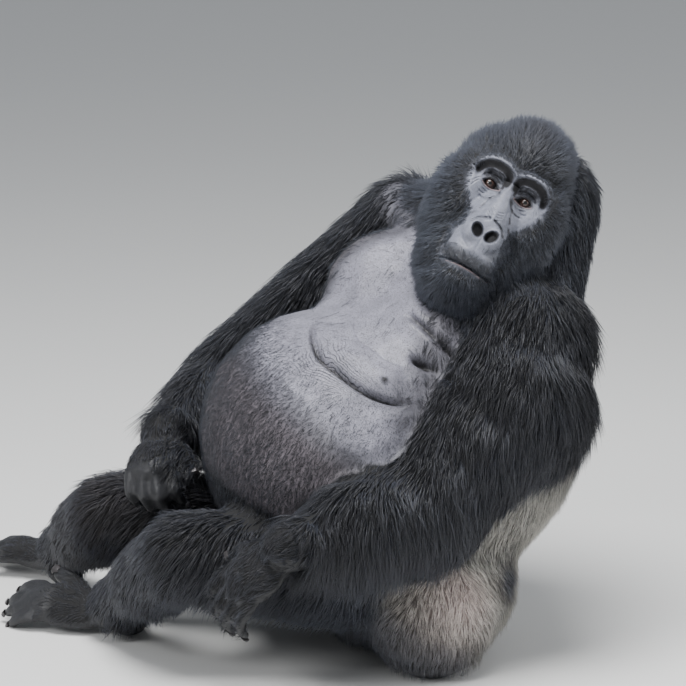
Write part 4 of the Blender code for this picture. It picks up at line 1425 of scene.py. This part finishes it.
    # its patch on the unwrap, how far along it each point lies, and its tone
    patch = w.scaled(w.field("patch", VECTOR), PATCH_HALF)
    flat = w.vec("ADD", w.field("atlas", VECTOR), patch)
    made = w.keep(made, "OFBake", flat, "FLOAT2", "CORNER")
    made = w.keep(made, "run", t)
    tuft = w.times(w.minus(w.noise(root, TUFT_SCALE, 0.0), 0.5), TUFT_TONE)
    made = w.keep(made, "tone", w.plus(w.times(luck[0], LOCK_TONE), tuft))
    for name in LOCK_SCRATCH + SKIN_MARKS:
        made = w.add("GeometryNodeRemoveAttribute", {"Geometry": made, "Name": name}).outputs[0]
    made = w.add("GeometryNodeSetShadeSmooth", {"Geometry": made}).outputs[0]
    w.result(w.add("GeometryNodeSetMaterial", {"Geometry": made, "Material": given["Material"]}).outputs[0])
    return tree


# ---------------------------------------------------------------- materials
UNDER_SILVER = (0.16, 0.15, 0.13, 1.0)      # the skin that shows between silver hairs, and between tan ones
UNDER_TAN = (0.36, 0.28, 0.26, 1.0)
SHADE_AND_DARK_SKIN_BLACK = (0.005, 0.004, 0.004, 1.0)    # painted shade in the grooves and hollows of the face and the folds of the chest, and the nipples' own dark
HOLE_SHADE_BLACK = (0.006, 0.005, 0.005, 1.0)     # painted shade in the nostrils, in the eye openings and between the lips, and darker along the eyelids' edges
PINK_AND_GLINT = (0.25, 0.17, 0.165, 1.0)         # the pink rims of the lower eyelids, painted lighter there as a highlight, and the lower lip
HEAD_GREY_GLINT = (0.42, 0.47, 0.58, 1.0)       # the few grey hairs of the head, tinted blue as a painted glint
SHEEN_BLUE = (0.62, 0.70, 0.92, 1.0)
IRIS_RIM = (0.012, 0.007, 0.006, 1.0)
PUPIL_BLACK = (0.001, 0.001, 0.001, 1.0)
SHADE_AND_DARK_SKIN_SHARE = 0.93       # how much of the skin's own colour the deepest painted shade and dark skin, and the holes' painted shade, take away
HOLE_SHADE_SHARE = 0.94
PAW_DARKNESS = 0.075    # bare palms and soles, as a share of the face's colour
STUBBLE_DARKNESS = 0.20


def toned(colour, factor):
    return tuple(factor * c for c in colour)


def effect(title, output, **inputs):
    """Makes a function into one that places a shader node group, which is built once. The function wires
    the group: it is given the group's inputs and Object coordinates, and gives back the output's value."""
    def maker(wire):
        def placed(w, **values):
            tree = bpy.data.node_groups.get(title)
            if tree is None:
                sockets = [(label, "NodeSocketFloat", value) for label, value in inputs.items()]
                tree = new_group(title, "ShaderNodeTree", sockets, [(output, "NodeSocketFloat")])
                inner = Wiring(tree)
                given = inner.add("NodeGroupInput").outputs
                inner.result(wire(inner, given, inner.add("ShaderNodeTexCoord").outputs["Object"]))
            return w.add("ShaderNodeGroup", values, node_tree=tree).outputs[0]
        return placed
    return maker


@effect("Mottle", "Mask", Scale=20.0, Contrast=1.0)
def mottle(w, given, where):
    """Blotches at two scales."""
    broad = w.noise(where, given["Scale"], 4.0)
    small = w.noise(where, w.times(given["Scale"], 7.0), 2.0)
    both = w.times_plus(small, 0.4, w.times(broad, 0.6))
    return w.plus(w.times(w.minus(both, 0.5), given["Contrast"]), 0.5)


@effect("Leather", "Height", Cells=430.0)
def leather(w, given, where):
    """The height of fine creased skin: small cells between creases, and broader folds."""
    where = w.vec("ADD", where, w.scaled(w.noise(where, 90.0, 2.0, "Color"), 0.006))
    cells = w.add(
        "ShaderNodeTexVoronoi", {"Vector": where, "Scale": given["Cells"]}, feature="DISTANCE_TO_EDGE")
    creases = w.ramp(cells.outputs["Distance"], 0.0, 0.10)
    return w.times_plus(creases, 0.35, w.noise(where, 130.0, 5.0))


@effect("Creases", "Height", Run=0.0, Weight=0.0, Spacing=0.0062)
def parallel_creases(w, given, where):
    """Fine parallel creases across a running number: 1 on ridges and where Weight is 0, 0 in the creases."""
    bend = w.times(w.noise(where, 24.0, 2.0), 5.0)
    steps = w.plus(w.math("DIVIDE", given["Run"], given["Spacing"]), bend)
    wave = w.math("ABSOLUTE", w.math("SINE", w.times(steps, math.pi)))
    weight = w.times(given["Weight"], w.ramp(w.noise(where, 60.0, 2.0), 0.25, 0.60, 0.30, 1.0))
    return w.minus(1.0, w.times(w.minus(1.0, w.ramp(wave, 0.0, 0.55)), weight))


@effect("Stubble", "Mask", Scale=470.0, Amount=0.5)
def stubble(w, given, where):
    """Tiny short dark hairs in the skin."""
    bent = w.scaled(w.noise(where, 200.0, 2.0, "Color"), 0.004)
    where = w.vec("ADD", w.vec("MULTIPLY", where, (0.8, 1.0, 0.45)), bent)
    spots = w.add("ShaderNodeTexVoronoi", {"Vector": where, "Scale": given["Scale"]}).outputs["Distance"]
    return w.times(given["Amount"], w.minus(1.0, w.ramp(spots, 0.12, 0.48)))


def new_material(name, **sockets):
    """A material with a Principled shader whose plain values are set on its own sockets."""
    material = bpy.data.materials.new(name)
    material.use_nodes = True
    w = Wiring(material.node_tree)
    w.shade(**sockets)
    return material, w


def skin_material():
    """Slate grey skin: glossy on the face and the chest, dull and dark under the coat."""
    settings = bpy.context.scene.gorilla_skin
    material, w = new_material("skin", Specular_IOR_Level=0.5, Coat_Roughness=0.35)
    coarse = mottle(w, Scale=26.0, Contrast=1.6)
    fine = mottle(w, Scale=150.0, Contrast=1.4)
    broad = mottle(w, Scale=7.0, Contrast=1.5)
    bare = w.mark("bare")
    facial = w.mark("facial")
    trunk = w.most(w.mark("tinge"), w.mark("pale"))
    paw = w.times(bare, 0.9, w.minus(1.0, trunk))
    slate = settings.face_colour
    face_tone = w.mix(w.mark("stubble"), toned(slate, 1.0), toned(slate, STUBBLE_DARKNESS))
    colour = toned(settings.dark_colour, 1.0)
    for mask, over in (
            (w.mark("tinge"), toned(settings.belly_colour, 1.0)), (w.mark("silver"), UNDER_SILVER),
            (w.mark("tan"), UNDER_TAN), (w.mark("pale"), toned(settings.chest_colour, 1.0)),
            (paw, toned(slate, PAW_DARKNESS)), (facial, face_tone)):
        colour = w.mix(mask, colour, over)
    # blotches and stubble darken the colour, and the fine creases darken it as painted shade
    creases = parallel_creases(w, Run=w.mark("crease_run"), Weight=w.mark("crease"))
    hairs = stubble(w, Amount=w.times_plus(trunk, 0.60, 0.18))
    shade = w.times(w.times_plus(coarse, 0.7, 0.65), w.times_plus(fine, 0.3, 0.85),
                    w.times_plus(w.times(broad, trunk), 0.5, 0.75), w.times_plus(creases, 0.65, 0.35),
                    w.minus(1.0, hairs))
    grey = w.add("ShaderNodeCombineColor", {0: shade, 1: shade, 2: shade}).outputs[0]
    colour = w.mix(1.0, colour, grey, "MULTIPLY")
    # the painted shade in hollows and folds, and the dark skin, has a ragged edge
    ragged = w.plus(w.mark("dusk"), w.times(w.minus(fine, 0.5), 0.9))
    dusk = w.ramp(w.times(ragged, w.ramp(w.mark("dusk"), 0.0, 0.3)), 0.15, 0.85)
    colour = w.mix(w.times(dusk, SHADE_AND_DARK_SKIN_SHARE), colour, SHADE_AND_DARK_SKIN_BLACK)
    # pink eyelid rims and lower lip, with a painted highlight on the eyelids
    colour = w.mix(w.mark("wet"), colour, PINK_AND_GLINT)
    # painted shade in the nostrils, the eye openings and between the lips
    colour = w.mix(w.times(w.mark("hole"), HOLE_SHADE_SHARE), colour, HOLE_SHADE_BLACK)
    dull = w.most(w.minus(1.0, bare), w.times(dusk, facial))
    height = w.times(leather(w), bare)
    grain = w.bump(height, distance=0.0015, strength=0.75)
    rough = w.most(w.times_plus(fine, 0.22, 0.30), w.times(dull, 0.90))
    folds = w.bump(creases, distance=0.0030, strength=0.8, normal=grain)
    w.shade(Base_Color=colour, Roughness=rough, Normal=folds)
    return material


def coat_material():
    """Glossy black hair with silver, tan and brown where the coat is marked so."""
    settings = bpy.context.scene.gorilla_coat
    material, w = new_material(
        "coat", Specular_IOR_Level=0.50, Sheen_Weight=0.09, Sheen_Roughness=0.35, Sheen_Tint=SHEEN_BLUE)
    tone = w.mark("tone")
    marked = w.mark("silver")
    patchy = mottle(w, Scale=14.0, Contrast=1.8)

    def varied(colour, low, high, reach=1.0):
        """A hair's colour by its tone, from low to high times the given one."""
        return w.mix(w.ramp(tone, -reach, reach), toned(colour, low), toned(colour, high))

    black = varied(settings.black, 0.30, 2.8, 0.9)
    root_grey = toned(settings.silver, 0.60)
    grey = w.mix(w.ramp(w.mark("run"), 0.0, 0.5), root_grey, varied(settings.silver, 0.85, 1.48))
    grey = w.mix(w.ramp(marked, 0.10, 0.35), HEAD_GREY_GLINT, grey)
    brown = w.times(w.mark("brown"), w.times_plus(patchy, 1.0, 0.3))
    silver = w.times(marked, w.ramp(w.plus(patchy, w.times(tone, 0.25)), 0.15, 0.75, 0.45, 1.0))
    # a few light hairs on the head: grey hairs, partly a painted glint
    glint_flecks = w.times(w.ramp(marked, 0.0, 0.05), w.minus(1.0, marked))
    silver = w.plus(silver, w.times(glint_flecks, w.ramp(tone, 0.1, 1.2, 0.0, 0.15)))
    colour = w.mix(brown, black, toned(settings.brown, 1.0))
    colour = w.mix(silver, colour, grey)
    colour = w.mix(w.mark("tan"), colour, varied(settings.tan, 1.2, 1.75))
    w.shade(Base_Color=colour, Roughness=w.times_plus(patchy, 0.16, 0.40))
    return material


def eye_material():
    """A brown iris with its fibres and dark rim round a black pupil, in a dark eyeball, under a clear, moist
    gloss.
    """
    settings = bpy.context.scene.gorilla_eye
    material, w = new_material(
        "eye", Specular_IOR_Level=0.5, Coat_Weight=1.0, Coat_Roughness=0.02, Coat_IOR=1.38, Roughness=0.25)
    out = w.mark("out")
    fibre = w.add("ShaderNodeAttribute", attribute_name="fibre").outputs["Vector"]

    def ring(radius, start, end):
        return w.ramp(out, radius * start, radius * end)

    brown = settings.iris_colour
    iris = w.mix(w.noise(fibre, 9.0, 3.0), toned(brown, 0.35), toned(brown, 1.8))
    iris = w.mix(ring(settings.iris, 0.78, 1.02), iris, IRIS_RIM)
    white = settings.white_colour
    ball = w.mix(ring(settings.iris, 1.0, 1.7), toned(white, 0.5), toned(white, 1.0))
    colour = w.mix(ring(settings.iris, 0.99, 1.08), iris, ball)
    w.shade(Base_Color=w.mix(ring(settings.pupil, 0.9, 1.1), PUPIL_BLACK, colour))
    return material


def nail_material():
    """Dark horn with lengthwise streaks."""
    horn = bpy.context.scene.gorilla_nail.horn_colour
    material, w = new_material("nail", Specular_IOR_Level=0.55)
    streak = mottle(w, Scale=160.0, Contrast=1.6)
    w.shade(
        Base_Color=w.mix(streak, toned(horn, 0.5), toned(horn, 2.4)),
        Roughness=w.times_plus(streak, 0.2, 0.25),
        Normal=w.bump(streak, distance=0.0004, strength=0.4))
    return material


def floor_material():
    """A matt, faintly clouded pale floor."""
    floor = bpy.context.scene.gorilla_stage.floor_colour
    material, w = new_material("floor", Specular_IOR_Level=0.2)
    cloud = mottle(w, Scale=1.5, Contrast=0.5)
    w.shade(
        Base_Color=w.mix(cloud, toned(floor, 0.97), toned(floor, 1.0)),
        Roughness=w.times_plus(cloud, 0.1, 0.75))
    return material


# ---------------------------------------------------------------- the pieces
class GORILLA_OT_skin(bpy.types.Operator):
    """Build the skin that stands for all the flesh"""
    bl_idname = "gorilla.skin"
    bl_label = "Skin"

    def execute(self, context):
        skin = build_skin()
        skin.data.materials.append(skin_material())
        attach(skin, BODY)
        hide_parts(*FLESH)
        return {"FINISHED"}


class GORILLA_OT_eyes(bpy.types.Operator):
    """Build the two eyeballs with their irises"""
    bl_idname = "gorilla.eyes"
    bl_label = "Eyes"

    AROUND = 48
    RING_ANGLES = (2, 5, 8, 11.5, 15, 19, 23, 27, 30, 33, 37, 43, 52, 64, 80, 100, 125, 150, 170)
    CORNEA_BULGE = 0.0011
    CORNEA_ANGLE = math.radians(27.0)
    LID_GAP = 0.0003

    def execute(self, context):
        material = eye_material()
        for name in EYES:
            eye = self.eyeball(name)
            eye.data.materials.append(material)
            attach(eye, BODY)
            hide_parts(name)
        return {"FINISHED"}

    def eyeball(self, name):
        """Rings from the pole of the pupil back, with the cornea's bulge over the iris."""
        centre = box_middle(name)
        bm = bmesh.new()
        out = bm.verts.layers.float.new("out")
        fibre = bm.verts.layers.float_vector.new("fibre")
        around = self.AROUND

        def point(angle, turn):
            bulge = self.CORNEA_BULGE * math.exp(-(angle / self.CORNEA_ANGLE) ** 4)
            radius = EYE_RADIUS - self.LID_GAP + bulge
            offset = radius * math.sin(angle)
            place = centre + FACE_FRONT * radius * math.cos(angle)
            return place + FACE_LEFT * offset * math.cos(turn) + FACE_TOP * offset * math.sin(turn)

        def vertex(angle, turn):
            vert = bm.verts.new(point(angle, turn))
            vert[out] = EYE_RADIUS * math.sin(min(angle, math.pi / 2.0))
            vert[fibre] = (math.cos(turn) * 1.5, math.sin(turn) * 1.5, angle * 0.6)
            return vert

        front = vertex(0.0, 0.0)
        back = vertex(math.pi, 0.0)
        rings = [[vertex(math.radians(angle), 2.0 * math.pi * k / around) for k in range(around)]
                 for angle in self.RING_ANGLES]
        for k in range(around):
            n = (k + 1) % around
            bm.faces.new((front, rings[0][k], rings[0][n]))
            bm.faces.new((back, rings[-1][n], rings[-1][k]))
            for ring, wider in zip(rings[:-1], rings[1:]):
                bm.faces.new((ring[k], wider[k], wider[n], ring[n]))
        bmesh.ops.recalc_face_normals(bm, faces=bm.faces[:])
        mesh = closed(bm, name + "_ball")
        shade_smooth(mesh)
        return mesh_object(name + "_ball", mesh)


class GORILLA_OT_nails(bpy.types.Operator):
    """Build a rounded nail over each digit"""
    bl_idname = "gorilla.nails"
    bl_label = "Nails"

    def execute(self, context):
        material = nail_material()
        for name in NAILS:
            bm = bmesh.new()
            add_node(bm, name, 0.0)
            rough = fused(bm, context.scene.gorilla_nail.cell, name + "_horn")
            rough.modifiers.new("Round", "SMOOTH").iterations = 6
            nail = mesh_object(name + "_horn", evaluated_mesh(rough, name + "_horn"))
            nail.data.materials.clear()
            nail.data.materials.append(material)
            shade_smooth(nail.data)
            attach(nail, BODY)
            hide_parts(name)
        return {"FINISHED"}


# of each kind of coat piece: share of the full number of locks, width, clumps per square metre, droop, rings
COAT_STYLES = {
    "face": (3.2, 0.82, 7000.0, 0.02, 1),
    "crown": (2.8, 0.90, 6000.0, 0.02, 1),
    "neck": (0.95, 0.90, 3600.0, 0.08, 2),
    "upper_arm_left": (1.0, 0.82, 2400.0, 0.16, 2),
    "upper_arm_right": (0.72, 0.92, 2400.0, 0.16, 2),
    "forearm": (1.0, 0.84, 2400.0, 0.24, 2),
    "chest": (1.4, 0.80, 4000.0, 0.06, 1),
    "belly": (2.0, 0.45, 16000.0, 0.04, 1),
    "flank": (1.1, 0.80, 5000.0, 0.05, 1),
    "pelvis": (1.25, 0.75, 5000.0, 0.06, 1),
    "thigh": (0.65, 0.92, 2600.0, 0.20, 2),
    "shank": (0.70, 0.90, 2600.0, 0.18, 2),
}
LONG_BEND = 0.42                           # how far long and short locks bend back to the skin
SHORT_BEND = 0.10


class GORILLA_OT_coat(bpy.types.Operator):
    """Grow the coat over the skin, one piece for each part of the body"""
    bl_idname = "gorilla.coat"
    bl_label = "Coat"

    def execute(self, context):
        settings = context.scene.gorilla_coat
        skin = bpy.data.objects["skin"]
        material = coat_material()
        tree = coat_tree()
        sockets = {item.name: item.identifier for item in tree.interface.items_tree if item.in_out == "INPUT"}
        for index, name in enumerate(COATS):
            part = name.replace("coat_", "")
            share, width, clumps, droop, rings = COAT_STYLES.get(part) or COAT_STYLES[kind_of(part)]
            base = skin.data.copy()
            layer = base.attributes.new("atlas", VECTOR, "CORNER")
            layer.data.foreach_set("vector", atlas(base, index).ravel())
            grower = mesh_object(name + "_grower", base)
            modifier = grower.modifiers.new("Coat", "NODES")
            modifier.node_group = tree
            values = {
                "Piece": index, "Locks": settings.locks * share, "Width": settings.width * width,
                "Clump": settings.clump, "Clumps": clumps, "Droop": droop, "Rings": rings,
                "Bend": LONG_BEND if rings > 1 else SHORT_BEND,
                "Seed": settings.seed + index, "Material": material,
            }
            for label, value in values.items():
                modifier[sockets[label]] = value
            mesh = evaluated_mesh(grower, name)
            bpy.data.meshes.remove(base)
            if not mesh.polygons:
                raise RuntimeError(f"{name} grew no locks")
            piece = mesh_object(name, mesh)
            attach(piece, BODY)
        for name in SKIN_MARKS:
            skin.data.attributes.remove(skin.data.attributes[name])
        return {"FINISHED"}


# of each lamp: place from the middle of the animal, width, watts
LAMPS = (
    ("overhead", (-0.3, -1.0, 3.4), 2.4, 290.0),
    ("front_left", (-3.1, -3.2, 2.3), 2.0, 135.0),
    ("right", (3.2, -0.6, 1.1), 1.8, 52.0),
)
SKY = (0.86, 0.90, 0.96, 1.0)
SKY_STRENGTH = 0.50


class GORILLA_OT_stage(bpy.types.Operator):
    """Set up the pale floor, the soft lights and the camera"""
    bl_idname = "gorilla.stage"
    bl_label = "Stage"

    def execute(self, context):
        settings = context.scene.gorilla_stage
        self.floor()
        self.world(context)
        middle = Vector((BODY_SHIFT.x, BODY_SHIFT.y, settings.target))
        for name, offset, size, power in LAMPS:
            self.lamp(name, middle, Vector(offset), size, power)
        self.camera(context, settings, middle)
        return {"FINISHED"}

    def floor(self):
        bm = bmesh.new()
        bmesh.ops.create_grid(bm, x_segments=1, y_segments=1, size=40.0)
        floor = mesh_object("floor", closed(bm, "floor"))
        floor.data.materials.append(floor_material())

    def world(self, context):
        world = bpy.data.worlds.new("studio")
        context.scene.world = world
        world.use_nodes = True
        back = world.node_tree.nodes["Background"]
        back.inputs["Color"].default_value = SKY
        back.inputs["Strength"].default_value = SKY_STRENGTH

    def lamp(self, name, middle, offset, size, power):
        data = bpy.data.lights.new(name, "AREA")
        data.shape = "DISK"
        data.size = size
        data.energy = power
        lamp = bpy.data.objects.new(name, data)
        lamp.location = middle + offset
        lamp.rotation_mode = "QUATERNION"
        lamp.rotation_quaternion = offset.to_track_quat("Z", "Y")
        bpy.context.scene.collection.objects.link(lamp)

    def camera(self, context, settings, middle):
        data = bpy.data.cameras.new("camera")
        data.lens = settings.lens
        data.sensor_width = 36.0
        camera = bpy.data.objects.new("camera", data)
        back = Vector((0.0, -math.cos(settings.drop), math.sin(settings.drop)))
        camera.location = middle + back * settings.distance
        camera.rotation_euler = (math.pi / 2.0 - settings.drop, 0.0, 0.0)
        context.scene.collection.objects.link(camera)
        context.scene.camera = camera


class GORILLA_PT_panel(bpy.types.Panel):
    """Lists the gorilla's pieces and their settings"""
    bl_idname = "GORILLA_PT_panel"
    bl_label = "Gorilla"
    bl_space_type = "VIEW_3D"
    bl_region_type = "UI"
    bl_category = "Gorilla"

    def draw(self, context):
        scene = context.scene
        for operator, settings in (
                ("gorilla.stage", scene.gorilla_stage), ("gorilla.skin", scene.gorilla_skin),
                ("gorilla.eyes", scene.gorilla_eye), ("gorilla.nails", scene.gorilla_nail),
                ("gorilla.coat", scene.gorilla_coat)):
            box = self.layout.box()
            box.operator(operator)
            for name in settings.__annotations__:
                box.prop(settings, name)


SETTINGS = {
    "gorilla_skin": GorillaSkinSettings,
    "gorilla_coat": GorillaCoatSettings,
    "gorilla_eye": GorillaEyeSettings,
    "gorilla_nail": GorillaNailSettings,
    "gorilla_stage": GorillaStageSettings,
}
CLASSES = (*SETTINGS.values(), GORILLA_OT_stage, GORILLA_OT_skin, GORILLA_OT_eyes, GORILLA_OT_nails,
           GORILLA_OT_coat, GORILLA_PT_panel)


def register():
    for item in CLASSES:
        bpy.utils.register_class(item)
    for name, item in SETTINGS.items():
        setattr(bpy.types.Scene, name, PointerProperty(type=item))


def unregister():
    for name in SETTINGS:
        delattr(bpy.types.Scene, name)
    for item in reversed(CLASSES):
        bpy.utils.unregister_class(item)


def main():
    register()
    bpy.ops.gorilla.stage()
    bpy.ops.gorilla.skin()
    bpy.ops.gorilla.eyes()
    bpy.ops.gorilla.nails()
    bpy.ops.gorilla.coat()


if __name__ == "__main__":
    main()
